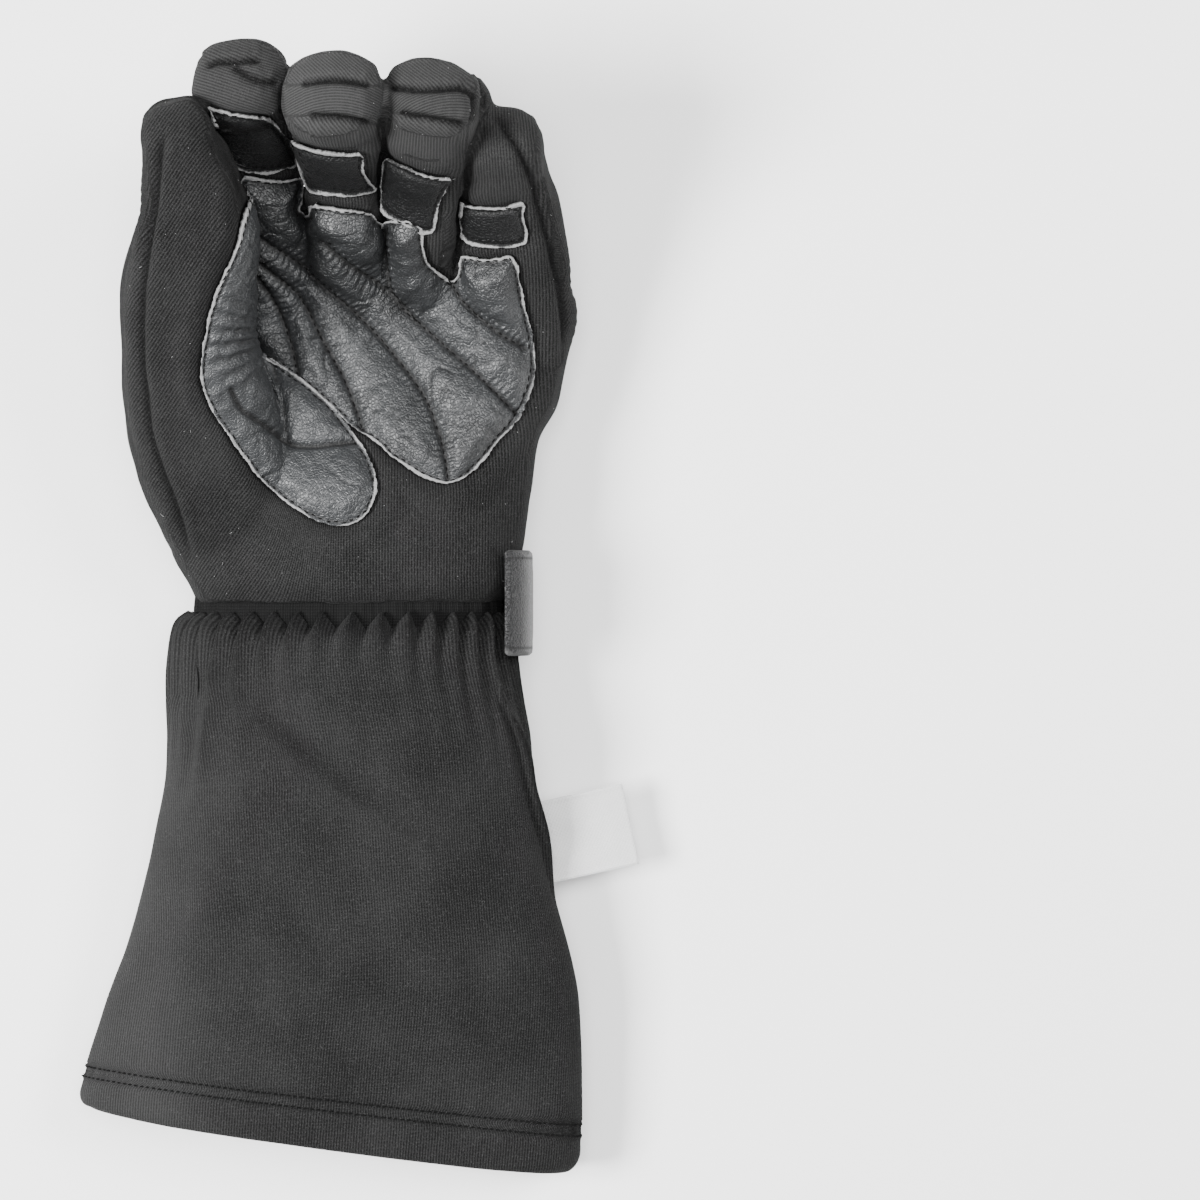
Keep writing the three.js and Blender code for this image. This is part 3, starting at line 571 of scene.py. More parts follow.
quilting = [rounded(line, 2) for line in (
    [(-22.3, 102.3), (-16.9, 95.3), (-11.6, 81.5), (-9.4, 70.8)],
    [(-21.2, 106), (-8.4, 95.3), (-2, 81.5), (5.5, 68.6), (10.8, 53.7)],
    [(-22.2, 114.5), (-4.1, 101.7), (9.8, 88.9), (19.4, 78.2), (30.1, 64.4), (35.4, 49.4), (37, 38.8)],
    [(-.9, 112.4), (8.7, 103.8), (19.4, 97.5), (27.9, 86.8), (42.9, 74), (57.8, 59)],
    [(18.3, 116.5), (19.2, 98.6), (22.5, 92), (27.9, 86.8)],
    [(37.1, 100.9), (41.4, 94.1), (47.6, 88), (53.8, 83), (60.6, 79.1)])]
lobeFold = rounded([(-30.9, 66.5), (-27.8, 60.1), (-21.6, 55.8), (-15.4, 50.9), (-10.5, 48.4), (-3.1, 48.2), (8, 50)], 2)
lobeCrease = rounded([(-16.5, 74), (-15, 65), (-12.9, 51.5)], 2)


# the highest knit under each spot of the picture, in cells of 1.5 mm
cells = np.zeros((240, 240))
spotX, spotY = ((seen(base) + [180, 60]) / 1.5).astype(int).T
np.maximum.at(cells, (spotX, spotY), base[:, 2])


def covered(points, plan):
    # how far points lie beneath the highest knit that the camera sees over them
    column, row = np.clip((plan + [180, 60]) / 1.5, 0, 239).astype(int).T
    return cells[column, row] - points[:, 2]


def bodyFields(points, normals):
    # which part of the glove each point is on, and its distances to the leather outlines
    plan = seen(points)
    out, share, angle, localX, localZ = (np.stack(columns) for columns in zip(*(digitFields(points, d) for d in digits.values())))
    upward = np.minimum((normals[:, 2] + .1) * 9, 15 - covered(points, plan))
    palm = np.minimum.reduce([inside(plan, palmLine), upward, out[4] - .6])
    onThumb = np.maximum(4 - np.abs(out[4]), 80 - plan[:, 1])
    reach = rowAt([[.3, 86], [.36, 92], [.48, 104], [.6, 116], [.72, 122], [.82, 116], [.9, 104], [1.1, 96]], share[4])[:, 0]
    under = np.where(np.abs(out[4]) < 2.5, (reach - np.abs(angle[4])) * .3, upward)
    under = np.maximum(under, np.minimum(upward, 86 - plan[:, 1]))
    crescent = np.minimum.reduce([inside(plan, thumbLine), onThumb, under])
    pads = {name: np.minimum.reduce([inside(plan, line), upward, 2 - out[k]])
            for k, (name, line) in enumerate(padLines.items())}
    return dict(plan=plan, out=out, share=share, angle=angle, localX=localX, localZ=localZ, palm=palm, thumb=crescent,
                upward=upward, **pads)


def commonFolds(points):
    return bodyLook["folds"] * (0.7 * ripple(points * [1, .6, 1], 46, 3, 2) + 0.3 * ripple(points, 17, 4, 2))


baseNormals = normalsOf(base, baseFaces)
fields = bodyFields(base, baseNormals)
leathers = ("palm", "thumb", "index", "middle", "ring", "little")
nearest = np.max([fields[name] for name in leathers], 0)
move = commonFolds(base)
# under the leather the knit lies 1.7 mm lower, and it swells beside each leather edge
move -= 1.7 * ease(nearest, -.6, 1.4)
move += 1.1 * np.exp(-(((nearest + 5) / 3.2)**2)) - .7 * np.exp(-((nearest / 1.3)**2))
# painted shade: the seam grooves are marked here, and the knit is darkened along them
creaseShade = np.zeros(len(base))
up = ease(fields["upward"], 0, 2)
for name, line in seams.items():
    gap, along, _ = near(fields["plan"], line)
    length = np.linalg.norm(np.diff(line, axis=0), axis=1).sum()
    fade = (6, 16) if name.endswith("Side") else (1.5, 1.5)
    ends = up * ease(along, 0, fade[0]) * ease(length - along, 0, fade[1])
    pucker = 1 + .35 * np.sin(along * 2 * np.pi / 3.1) * np.exp(-((gap / 4)**2))
    move += ends * bodyLook["seamDepth"] * (.55 * np.exp(-(((gap - 3.2) / 2.2)**2)) * pucker - np.exp(-((gap / 1.05)**2)))
    creaseShade = np.maximum(creaseShade, ends * np.exp(-((gap / .8)**2)))
# digits press against each other: a groove where two of them are equally near
order = np.sort(fields["out"], 0)
touching = np.exp(-(((order[1] - order[0]) / 2.2)**2)) * ease(3 - order[1], 0, 1.5)
move -= bodyLook["contactDepth"] * touching * (1 - .8 * ease(base[:, 1], 138, 150))
# side seams along the back of each digit
for k in range(5):
    on = ease(1.8 - np.abs(fields["out"][k]), 0, .8) * ease(fields["share"][k], .35, .7) * (1 - up)
    gap = np.abs(np.abs(fields["angle"][k]) - 112) * .22
    move += on * (.5 * np.exp(-(((gap - 2.4) / 1.8)**2)) - 1.1 * np.exp(-((gap / .9)**2)))
body = base + baseNormals * move[:, None]
# the closed wrist end becomes a lining that runs 60 mm up inside the hand
wrist = ease(1.2 - base[:, 1], 0, 1)
middleX, middleZ = 8.3, 26.2
radius = np.sqrt(((body[:, 0] - middleX) / 46)**2 + ((body[:, 2] - middleZ) / 20.7)**2)
cap = wrist * (baseNormals[:, 1] < -.6)
body[:, 1] += cap * bodyLook["liningDepth"] * (1 - np.clip(radius / .93, 0, 1)**4)
body[:, 2] = np.maximum(body[:, 2], .02)



def turned(across, along, angle):
    return np.stack([across * np.cos(angle) + along * np.sin(angle), along * np.cos(angle) - across * np.sin(angle), 0 * across], 1)


# ribs run along each panel: x counts across them and y along them, in millimetres. The panels are flat,
# so the sides of the hand and of each digit count across in the other direction
plan = fields["plan"]
slant = -.62 * ease(8 - base[:, 0], 0, 30) * ease(fields["upward"], 2, 5)
weave = turned(np.where(np.abs(baseNormals[:, 2]) > .55, base[:, 0], base[:, 2]), base[:, 1], slant)
tipTurn = dict(index=1.25, middle=.8, ring=.9)
for k, (name, digit) in enumerate(digits.items()):
    root = digit["middle"][27]
    on = (fields["out"][k] < 1.5) & (fields["out"][k] <= order[0] + .01)
    front = (baseNormals @ digit["along"][-1] > .62) & (fields["share"][k] > .93)
    flank = (np.abs(fields["angle"][k] % 180 - 90) < 32) & ~front
    x = np.where(flank, fields["localZ"][k] + root[2], fields["localX"][k] + root[0])
    y = np.where(front, -fields["localZ"][k], (fields["share"][k] - .3) * digit["length"]) + root[1]
    if name == "thumb":
        on &= fields["upward"] < 1
    joined = (on * ease(fields["share"][k], .25, .6))[:, None]
    weave = weave * (1 - joined) + turned(x, y, 0) * joined
    if name in tipTurn:
        tip = on & (fields["share"][k] > .84) & (baseNormals[:, 2] > .42)
        weave[tip] = turned(plan[:, 0], plan[:, 1], tipTurn[name])[tip]
for over, below, k in ((seams["middleOver"], seams["middleUnder"], 1), (seams["ringOver"], seams["ringUnder"], 2)):
    top = np.interp(plan[:, 0], over[:, 0][:40], over[:, 1][:40])
    low = np.interp(plan[:, 0], below[:, 0], below[:, 1])
    band = (plan[:, 1] < top) & (plan[:, 1] > low) & (fields["out"][k] < 2) & (up > .2)
    weave[band] = turned(plan[:, 1] + .02 * (plan[:, 0] - over[:, 0].mean())**2, plan[:, 0], 0)[band]
# painted light: the knit on the tips is painted paler on its upward sides, where the light falls
litKnit = sum(amount * ease(fields["share"][k], .72, .95) * (fields["out"][k] < 1.5) * up
             for k, amount in enumerate((.42, .6, .5, .15, 0)))
litKnit = np.clip(litKnit - 1.5 * creaseShade, 0, 1)
# painted shade: the knit is darkened in seam grooves and hollows as well
knitBody = makePiece(
    "knit_body", body, baseFaces, knitBlack,
    ["hand_shell", "index_finger", "middle_finger", "ring_finger", "little_finger", "thumb"],
    dict(weave=weave, litKnit=litKnit, creaseShade=np.maximum(creaseShade, .9 * hollowOf(body, baseFaces, baseNormals, 14, 1.1))))
print("knit body made")


# Leather pieces: parts of the body's skin cut along their outlines, refined, quilted and given a thickness.

def cutOut(points, faces, depth, edges=None):
    # keeps the faces that reach into the outline, and slides their outer points onto it
    keep = faces[(depth[faces] > 0).any(1)]
    links = np.concatenate([keep[:, [0, 1]], keep[:, [1, 2]], keep[:, [2, 3]], keep[:, [3, 0]], keep[:, [0, 2]], keep[:, [1, 3]]])
    links = np.concatenate([links, links[:, ::-1]])
    links = links[(depth[links[:, 0]] <= 0) & (depth[links[:, 1]] > 0)]
    order = np.argsort(depth[links[:, 1]], kind="stable")
    links = links[order]
    moved = points.copy()
    outer, inner = links.T
    share = (-depth[outer] / (depth[inner] - depth[outer]))[:, None]
    moved[outer] = points[outer] + share * (points[inner] - points[outer])
    used = np.unique(keep)
    number = np.zeros(len(points), int)
    number[used] = np.arange(len(used))
    return moved[used], number[keep]


def hideShell(top, faces, normals, thickness):
    # the leather's face, its back one thickness below, and a rim that joins them
    count = len(top)
    pairs = np.concatenate([faces[:, [k, (k + 1) % 4]] for k in range(4)])
    key = np.sort(pairs, 1)
    _, first, times = np.unique(key, axis=0, return_index=True, return_counts=True)
    edge = pairs[first[times == 1]]
    back = top - normals * thickness
    rim = np.stack([edge[:, 1], edge[:, 0], edge[:, 0] + count, edge[:, 1] + count], 1)
    return np.vstack([top, back]), np.vstack([faces, faces[:, ::-1] + count, rim])


leatherLook = dict(thickness=1.1, lift=1.15, quiltDepth=1.3, swell=2.6, puff=1.0, ragged=.16)
stitchSpots = []


def makeLeather(name, region, node, material, refine=True):
    around = baseFaces[(fields[region][baseFaces] > -3).all(1)]
    used = np.unique(around)
    number = np.zeros(len(base), int)
    number[used] = np.arange(len(used))
    points, faces = base[used], number[around]
    if refine:
        points, faces = worked(points, faces, "SUBSURF", levels=1, render_levels=1)
    normals = normalsOf(points, faces)
    depth = bodyFields(points, normals)[region]
    depth = depth + leatherLook["ragged"] * ripple(points, 2.3, 21, 2) + .2 * ripple(points, 9, 22, 2)
    points, faces = cutOut(points, faces, depth)
    normals = normalsOf(points, faces)
    inner = np.maximum(bodyFields(points, normals)[region], 0)
    plan = seen(points)
    lift = leatherLook["lift"] + commonFolds(points)
    lift += leatherLook["puff"] * (1 - np.exp(-((inner / 4.5)**2))) - .55 * np.exp(-(((inner - 1.1) / .5)**2))
    litShare = np.zeros(len(points))
    quilt = np.full(len(points), 9.0)
    if region == "palm":
        run = np.zeros(len(points))
        for line in quilting:
            gap, along, _ = near(plan, line)
            closer = gap < quilt
            quilt[closer], run[closer] = gap[closer], along[closer]
        swell = 1 - np.exp(-((quilt / 4.6)**2))
        lift += leatherLook["swell"] * swell * ease(inner, 0, 6)
        lift -= leatherLook["quiltDepth"] * np.exp(-((quilt / .95)**2)) * ease(inner, 0, 1.5)
        lift += .3 * np.sin(run * 2 * np.pi / 1.9) * np.exp(-(((quilt - 1.6) / 1.3)**2))
        # painted light: the palm's lower part is painted paler, as the light falls there
        litShare = ease(118 - plan[:, 1], 0, 40) * (.65 + .35 * ripple(points, 30, 8, 2))
    if region == "thumb":
        fan = np.arctan2(plan[:, 1] - 84, plan[:, 0] + 8)
        lift += .55 * np.sin(fan * 34) * np.exp(-(((plan[:, 0] + 30) / 7)**2) - ((plan[:, 1] - 80) / 16)**2)
        quilt, run, _ = near(plan, lobeFold)
        lift += 1.6 * (1 - np.exp(-((quilt / 5)**2))) * ease(inner, 0, 6) * ease(72 - plan[:, 1], 0, 8)
        lift -= leatherLook["quiltDepth"] * np.exp(-((quilt / .95)**2)) * ease(inner, 0, 1.5)
        gap, _, _ = near(plan, lobeCrease)
        lift -= 1.5 * np.exp(-((gap / 1.7)**2)) * ease(inner, 0, 3)
        # painted light: the thumb lobe is painted paler, most towards its lower end
        litShare = .75 + .45 * ease(100 - plan[:, 1], 0, 40)
    soft = 1 if region in ("palm", "thumb") else .25
    lift += .2 * ripple(points, 7, 31, 2) * soft
    # creases: thin lines where two slow ripples cross nought
    lift -= .42 * soft * np.exp(-((ripple(points * [1, .7, 1], 26, 32, 2) / .09)**2)) * ease(ripple(points, 24, 33, 1), -.4, .4)
    lift -= .3 * soft * np.exp(-((ripple(points, 12, 34, 2) / .12)**2)) * ease(ripple(points, 30, 35, 1), -.2, .5)
    top = points + normals * lift[:, None]
    # painted shade: the leather's hollows and its quilting lines are marked for darkening
    hollowShade = np.maximum(hollowOf(top, faces, normals, 14, .55), .85 * np.exp(-((quilt / .9)**2)) * ease(inner, 0, 1.5))
    made, madeFaces = hideShell(top, faces, normals, leatherLook["thickness"])
    edge = np.concatenate([inner, np.zeros(len(points))])
    piece = makePiece(name, made, madeFaces, material, node,
                      dict(edge=edge, litShare=np.tile(litShare, 2), hollowShade=np.tile(hollowShade, 2)))
    return dict(top=top, normals=normals, plan=seen(top), lift=lift)


skins = dict(
    palm=makeLeather("palm_hide", "palm", "palm_leather", palmHide),
    thumb=makeLeather("thumb_hide", "thumb", "thumb_leather", palmHide),
    index=makeLeather("index_hide", "index", "index_pad", padHide),
    middle=makeLeather("middle_hide", "middle", "middle_pad", padHide),
    ring=makeLeather("ring_hide", "ring", "ring_pad", padHide),
    little=makeLeather("little_hide", "little", "little_pad", padHide))
print("leather made")

# The gathered wrist and the cuff.
cuffSections = [
    [0, -.255, .35, .11, .94, 0, .01], [.02, -.279, .362, .1, 1.02, 0, .032], [.06, -.291, .366, .08, 1.04, 0, .034],
    [.14, -.301, .382, .03, 1, .01, .02], [.22, -.306, .404, -.01, .97, .02, .006],
    [.32, -.312, .418, -.04, .92, .03, 0], [.48, -.344, .452, -.04, .87, .05, 0],
    [.66, -.389, .495, -.04, .8, .08, 0], [.84, -.45, .502, -.04, .73, .11, 0], [1, -.494, .5, -.04, .68, .128, 0]]
cuffLook = dict(columns=416, rows=140, gathers=38, scallop=.55, hem=15.5, needle=3.7, hemLift=.55)


def cuffSkin(at, angle, grow, look=1.0):
    # closed sections from the wrist to the hem: near ellipses, gathered by a wave that dies out down the cuff
    width, height = sizes["cuffWidth"], sizes["cuffHeight"]
    left, right, bottom, top, turn, gather = np.moveaxis(rowAt(cuffSections, at), -1, 0)
    start = -sizes["elasticLength"] - 2 * sizes["seatGap"]
    halfX, midX = (right - left) / 2 * width, (right + left) / 2 * width
    halfZ, midZ = (top - bottom) / 2 * height, (top + bottom) / 2 * height
    phase = cuffLook["gathers"] * angle - np.pi / 3
    uneven = phase + .6 * np.sin(3 * angle + 1) + .3 * np.sin(7 * angle)
    crest = np.cos(uneven)
    point = 1 - np.arccos(np.clip(crest, -1, 1)) / np.pi
    front = np.exp(-(((angle - 1.5) / .75)**2))
    fade = 1 - .8 * front * ease(at * sizes["cuffLength"], 3, 14)
    wave = np.minimum(gather + .012 * (at < .05), .034) * height * crest * cuffLook["scallop"] * look * fade
    x = midX + (halfX + grow) * (1 + wave / halfZ) * filled(np.cos(angle), .93)
    z = midZ + (halfZ + grow) * (1 + wave / halfZ) * filled(np.sin(angle), .93)
    y = start - at * (sizes["cuffLength"] + start) - turn * (x - midX)
    # pointed scallops stand up at the crests over the wrist elastic
    y = y + ((5.8 * point - 1.4) * (1 - ease(at * sizes["cuffLength"], 0, 11))) * look
    # the hem's corners are round
    corner = np.clip((at * sizes["cuffLength"] - sizes["cuffLength"] + 7) / 7, 0, 1)
    x = midX + (x - midX) * (1 - 5.5 / sizes["cuffWidth"] * 2 * (1 - np.sqrt(1 - .98 * corner**2)))
    return np.stack(np.broadcast_arrays(x, y, np.maximum(z, -grow * 0 + np.minimum(-grow, 3) * (grow < 0))), -1)


rows, columns = cuffLook["rows"], cuffLook["columns"]
angle = np.arange(columns) / columns * 2 * np.pi
outerAt = np.interp(np.arange(rows) / (rows - 1), [0, .25, .62, .92, 1],
                    np.array([0, 30, 143, 163.2, sizes["cuffLength"]]) / sizes["cuffLength"])[:, None]
innerAt = np.linspace(1, 0, 40)[:, None]
outer = cuffSkin(outerAt, angle[None], 0)
inner = cuffSkin(innerAt, angle[None], -sizes["cuffWall"], .6)
outerLength = outerAt[:, 0] * sizes["cuffLength"]
flat = outer.reshape(-1, 3)
outerNormals = normalsOf(flat, gridFaces(rows, columns, True)[:, ::-1])
down = np.repeat(outerLength, columns)
turnAngle = np.tile(angle, rows)
toHem = sizes["cuffLength"] - down
fold = .8 * ripple(flat * [1, .45, 1], 60, 41, 2) * ease(down, 14, 50)
fold += .12 * ripple(flat * [1, .5, 1], 16, 42, 2) * ease(down, 6, 30)


def valley(start, end, width, depth, low, high):
    # a soft fold between two angles in degrees, one at the wrist and one at the hem
    centre = np.radians(start + (end - start) * down / sizes["cuffLength"])
    gap = np.angle(np.exp(1j * (turnAngle - centre))) * 60
    shape = -np.exp(-((gap / width)**2)) + .6 * np.exp(-(((gap - 1.6 * width) / width)**2))
    return depth * shape * ease(down, low, low + 18) * ease(high - down, 0, 25)


fold += valley(133, 160, 4.5, 2.4, 4, 62) + valley(146, -34, 8, 1.8, 8, 75) + valley(33, -24, 2.6, 2.6, 8, 88)
fold += valley(118, 140, 9, 1, 60, 150) + valley(70, 60, 9, .9, 40, 150)
hemShape = cuffLook["hemLift"] * ease(cuffLook["hem"] + .8 - toHem, 0, .9)
for needle in (cuffLook["hem"] - .6, cuffLook["hem"] - .6 - cuffLook["needle"]):
    hemShape -= .45 * np.exp(-(((toHem - needle) / .55)**2))
hemShape += .25 * np.sin(turnAngle * 190) * np.exp(-(((toHem - cuffLook["hem"] + 2) / 3)**2))
flat = flat + outerNormals * (fold * ease(toHem, -30, 40) + hemShape)[:, None]
flat[:, 2] = np.maximum(flat[:, 2], .02)
outer = flat.reshape(rows, columns, 3)
lip = []
for t in (.25, .5, .75):
    ring = outer[-1] * (1 - t) + inner[0] * t
    ring[:, 1] -= 1.1 * np.sin(np.pi * t) * (1 - .9 * np.abs(np.cos(angle))**6)
    lip.append(ring)
cuffGrid = np.concatenate([outer, np.array(lip), inner])
cuffRows = len(cuffGrid)
cuffFaces = gridFaces(cuffRows, columns, True)[:, ::-1]
closing = np.stack([np.arange(columns), (np.arange(columns) + 1) % columns,
                    (cuffRows - 1) * columns + (np.arange(columns) + 1) % columns,
                    (cuffRows - 1) * columns + np.arange(columns)], 1)
cuffFaces = np.vstack([cuffFaces, closing])
cuffPoints = cuffGrid.reshape(-1, 3)
# the ribs count from the top's middle along each ring, and part underneath
fromBelow = np.roll(cuffGrid, columns // 4, 1)
step = np.linalg.norm(np.diff(fromBelow, axis=1, prepend=fromBelow[:, :1]), axis=2)
ribAt = np.cumsum(step, 1)
ribAt = np.roll(ribAt[:, columns // 2, None] - ribAt, -(columns // 4), 1)
gatheredRows = int((outerLength < 22).sum())
ribAt[:gatheredRows] = ribAt[gatheredRows]
cuffWeave = turned(ribAt.ravel(), cuffPoints[:, 1], .06)
# painted shade: the hem's two needle grooves are marked for darkening the knit
hemGrooveShade = np.zeros(len(cuffPoints))
for needle in (cuffLook["hem"] - .6, cuffLook["hem"] - .6 - cuffLook["needle"]):
    hemGrooveShade[:len(toHem)] += .55 * np.exp(-(((toHem - needle) / .7)**2))
# painted light: the cuff's upper left side is painted paler, where the key light falls
litCuff = .35 * ease(-cuffPoints[:, 0], 20, 60) * ease(cuffPoints[:, 2], 8, 20)
# painted shade: the cuff's hollows are darkened too
hollowShade = np.zeros(len(cuffPoints))
hollowShade[:len(toHem)] = hollowOf(flat, gridFaces(rows, columns, True), outerNormals, 20, 1.2)
cuff = makePiece("cuff", cuffPoints, cuffFaces, cuffBlack, "gauntlet_cuff",
                 dict(weave=cuffWeave, litKnit=litCuff, creaseShade=np.maximum(hemGrooveShade, hollowShade)))


def elasticBand():
    # a narrow ring gathered by two waves, tucked under the hand and under the cuff
    columns, rows = 520, 13
    angle = np.arange(columns) / columns * 2 * np.pi
    t = np.linspace(0, 1, rows)[:, None]
    ring = cuffSkin(np.zeros((1, 1)), angle[None], -1.2, 0)
    middle = ring.mean(1, keepdims=True)
    bulge = .15 * np.cos(angle * 110 + 2 * np.sin(angle * 9)) + .3 * np.cos(angle * 26 - np.pi / 3) + .5 * np.sin(np.pi * t)
    way = (ring - middle) * [1, 0, 1]
    way /= np.linalg.norm(way, axis=-1, keepdims=True)
    skin = ring + way * bulge[..., None]
    skin[..., 1] = 2.5 - 12 * t
    under = skin[::-1] - way * 2
    grid = np.concatenate([skin, under])
    faces = gridFaces(2 * rows, columns, True)[:, ::-1]
    last = (2 * rows - 1) * columns
    i = np.arange(columns)
    faces = np.vstack([faces, np.stack([i, (i + 1) % columns, last + (i + 1) % columns, last + i], 1)])
    points = grid.reshape(-1, 3)
    points[:, 2] = np.maximum(points[:, 2], .05)
    weave = np.stack([np.tile(angle * 60, 2 * rows), points[:, 1], 0 * points[:, 1]], 1)
    return makePiece("elastic", points, faces, elasticBlack, "wrist_elastic", dict(weave=weave))


elasticBand()

# The strap: a flat leather band bent round the wrist, with rounded edges.
strapLook = dict(width=32, thickness=2.4, line=[
    (.54, .97), (.588, .84), (.607, .6), (.598, .27), (.55, .09), (.47, .028), (.3, .028), (-.29, .028)])


def wristStrap():
    # a rounded rectangle carried along the strap's line
    unit = [sizes["palmWidth"], sizes["palmHeight"]]
    path, length = smoothPath(np.array(strapLook["line"]) * unit, 160)
    path[:, 1] = np.maximum(path[:, 1], strapLook["thickness"] / 2)
    way = np.gradient(path, axis=0)
    way /= np.linalg.norm(way, axis=1, keepdims=True)
    out = np.stack([-way[:, 1], way[:, 0]], 1) * -1
    half, thick = strapLook["width"] / 2, strapLook["thickness"] / 2
    side = np.linspace(-1, 1, 41)
    crown = np.sqrt(np.maximum(1 - np.abs(side)**14, 0))
    top = np.stack([side * half, crown * thick], 1)
    ringShape = np.vstack([top, top[::-1][1:-1] * [1, -1]])
    gapEdge = half - np.abs(ringShape[:, 0])
    lift = -.45 * np.exp(-(((gapEdge - 2.2) / .5)**2)) * (ringShape[:, 1] > 0) + .15 * np.exp(-((gapEdge - 4) / 2)**2)
    count = len(ringShape)
    along = np.arange(160)[:, None] / 159 * length
    pucker = .12 * np.sin(along * 2 * np.pi / 3) * np.exp(-(((gapEdge - 2.2) / 1.5)**2)) * (ringShape[:, 1] > 0)
    end = np.clip(np.minimum(along, length - along) / 2, 0, 1) ** .5
    height = (ringShape[:, 1] + lift + pucker) * end
    x = path[:, :1] + out[:, :1] * height
    z = np.maximum(path[:, 1:] + out[:, 1:] * height, .01)
    y = np.broadcast_to(ringShape[:, 0] * (1 - .06 * (1 - end)), x.shape)
    grid = np.stack([x, y, z], -1)
    faces = gridFaces(160, count, True)
    points = grid.reshape(-1, 3)
    edge = np.broadcast_to(np.minimum(gapEdge * .4 + .1, 9), x.shape).ravel()
    weave = np.stack([points[:, 1], np.broadcast_to(along, x.shape).ravel(), 0 * edge], 1)
    normals = normalsOf(points, faces)
    centre = np.repeat(np.stack([path[:, 0], 0 * path[:, 0], path[:, 1]], 1), count, 0)
    if ((points - centre) * normals).sum() < 0:
        faces = faces[:, ::-1]
    # painted shade: the stitch grooves near both edges are darkened
    piece = makePiece("strap", points, faces, strapHide, "wrist_strap",
                      dict(edge=edge, litShare=0 * edge, weave=weave, hollowShade=np.where(np.abs(edge - .98) < .2, .7, 0)))
    return piece


wristStrap()


def sewnLabel():
    # a woven strip folded under at its sides, bowed a little, with rounded edges
    low, high = (np.array(c) * 1000 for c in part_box("label"))
    centre = (low + high) / 2 - shift
    u, v = np.meshgrid(np.linspace(-1, 1, 61), np.linspace(-1, 1, 57))
    x, y = u * 15.2, v * 12.6
    bow = .5 * np.cos(u * 2.2 + .4) - .25 * np.cos(v * 3) + .12 * np.sin(v * 7 + u * 4)
    folded = .35 * ease(np.abs(v), .86, .9) - .2 * np.exp(-(((np.abs(v) - .9) / .03)**2))
    top = bow + folded + .35
    edge = np.minimum(1 - np.abs(u), 1 - np.abs(v))
    shape = []
    for face in (1, -1):
        z = np.where(face > 0, top, bow - .35) + 0 * u
        z = np.where(edge <= 0, bow, z)
        shape.append(np.stack([x, y, z], -1).reshape(-1, 3))
    turn = np.radians(12)
    tilt = np.radians(9)
    points = np.vstack(shape)
    points = np.stack([points[:, 0] * np.cos(tilt) + points[:, 2] * np.sin(tilt), points[:, 1],
                       -points[:, 0] * np.sin(tilt) + points[:, 2] * np.cos(tilt)], 1)
    points = np.stack([points[:, 0] * np.cos(turn) - points[:, 1] * np.sin(turn),
                       points[:, 0] * np.sin(turn) + points[:, 1] * np.cos(turn), points[:, 2]], 1)
    points += centre + [-.8, 0, 0]
    faces = gridFaces(57, 61, False)
    count = 57 * 61
    faces = np.vstack([faces, faces[:, ::-1] + count])
    weave = np.tile(np.stack([x.ravel(), y.ravel(), 0 * x.ravel()], 1), (2, 1))
    return makePiece("sewn_label", points, faces, labelWhite, "label", dict(weave=weave))


labelPiece = sewnLabel()
print("cuff, strap and label made")


# Stitches: small closed beads laid along lines on the finished skins.

def beads(name, spots, ways, ups, length, thick, material):
    # each bead is a ring profile carried along a short arc that dips at both ends
    t = np.array([-1, -.72, 0, .72, 1.0])
    size = np.array([.35, .85, 1, .85, .35])
    angle = np.arange(6) / 6 * 2 * np.pi
    side = np.cross(ways, ups)
    side /= np.maximum(np.linalg.norm(side, axis=1, keepdims=True), 1e-6)
    middle = spots[:, None] + ways[:, None] * (t * length / 2)[None, :, None] + ups[:, None] * (-(t**2) * thick * .7)[None, :, None]
    ring = (side[:, None, None] * (np.cos(angle)[None, None, :] * size[None, :, None] * thick / 2)[..., None]
            + ups[:, None, None] * (np.sin(angle)[None, None, :] * size[None, :, None] * thick / 2)[..., None])
    grid = middle[:, :, None] + ring
    one = gridFaces(5, 6, True)
    ends = np.array([[0, 1, 2, 3], [0, 3, 4, 5], [27, 26, 25, 24], [29, 28, 27, 24]])
    one = np.vstack([one, ends])[:, ::-1]
    faces = (one[None] + np.arange(len(spots))[:, None, None] * 30).reshape(-1, 4)
    points = grid.reshape(-1, 3)
    weave = points * [1, 1, 0]
    return makePiece(name, points, faces, material, None, dict(weave=weave))


def alongLine(line, pitch, closed=False, start=0.0):
    # evenly spaced places on a line and the directions there
    loop = np.vstack([line, line[:1]]) if closed else line
    run = np.r_[0, np.cumsum(np.linalg.norm(np.diff(loop, axis=0), axis=1))]
    at = np.arange(start + pitch / 2, run[-1], pitch)
    place = np.stack([np.interp(at, run, column) for column in loop.T], 1)
    after = np.stack([np.interp(at + .2, run, column) for column in loop.T], 1)
    before = np.stack([np.interp(at - .2, run, column) for column in loop.T], 1)
    return place, after - before


def inset(line, depth):
    # a closed outline moved inwards along its own normals, wherever it still has that much room
    way = np.roll(line, -1, 0) - np.roll(line, 1, 0)
    way /= np.maximum(np.linalg.norm(way, axis=1, keepdims=True), 1e-6)
    left = np.stack([-way[:, 1], way[:, 0]], 1)
    trial = line + left * depth
    if inside(trial, line).mean() < 0:
        trial = line - left * depth
    return trial[inside(trial, line) > depth * .8]


def laid(skin, plan, ways):
    # stitches put on the nearest point of a skin as it is seen from the camera
    gap = ((plan**2).sum(1)[:, None] - 2 * plan @ skin["plan"].T + (skin["plan"]**2).sum(1))
    i = gap.argmin(1)
    fits = gap[np.arange(len(plan)), i] < 1.2
    up = skin["normals"][i]
    spot = skin["top"][i]
    flatWay = np.column_stack([ways, 0 * ways[:, :1]])
    way = flatWay - up * (flatWay * up).sum(1, keepdims=True)
    way /= np.maximum(np.linalg.norm(way, axis=1, keepdims=True), 1e-6)
    return spot[fits], way[fits], up[fits]


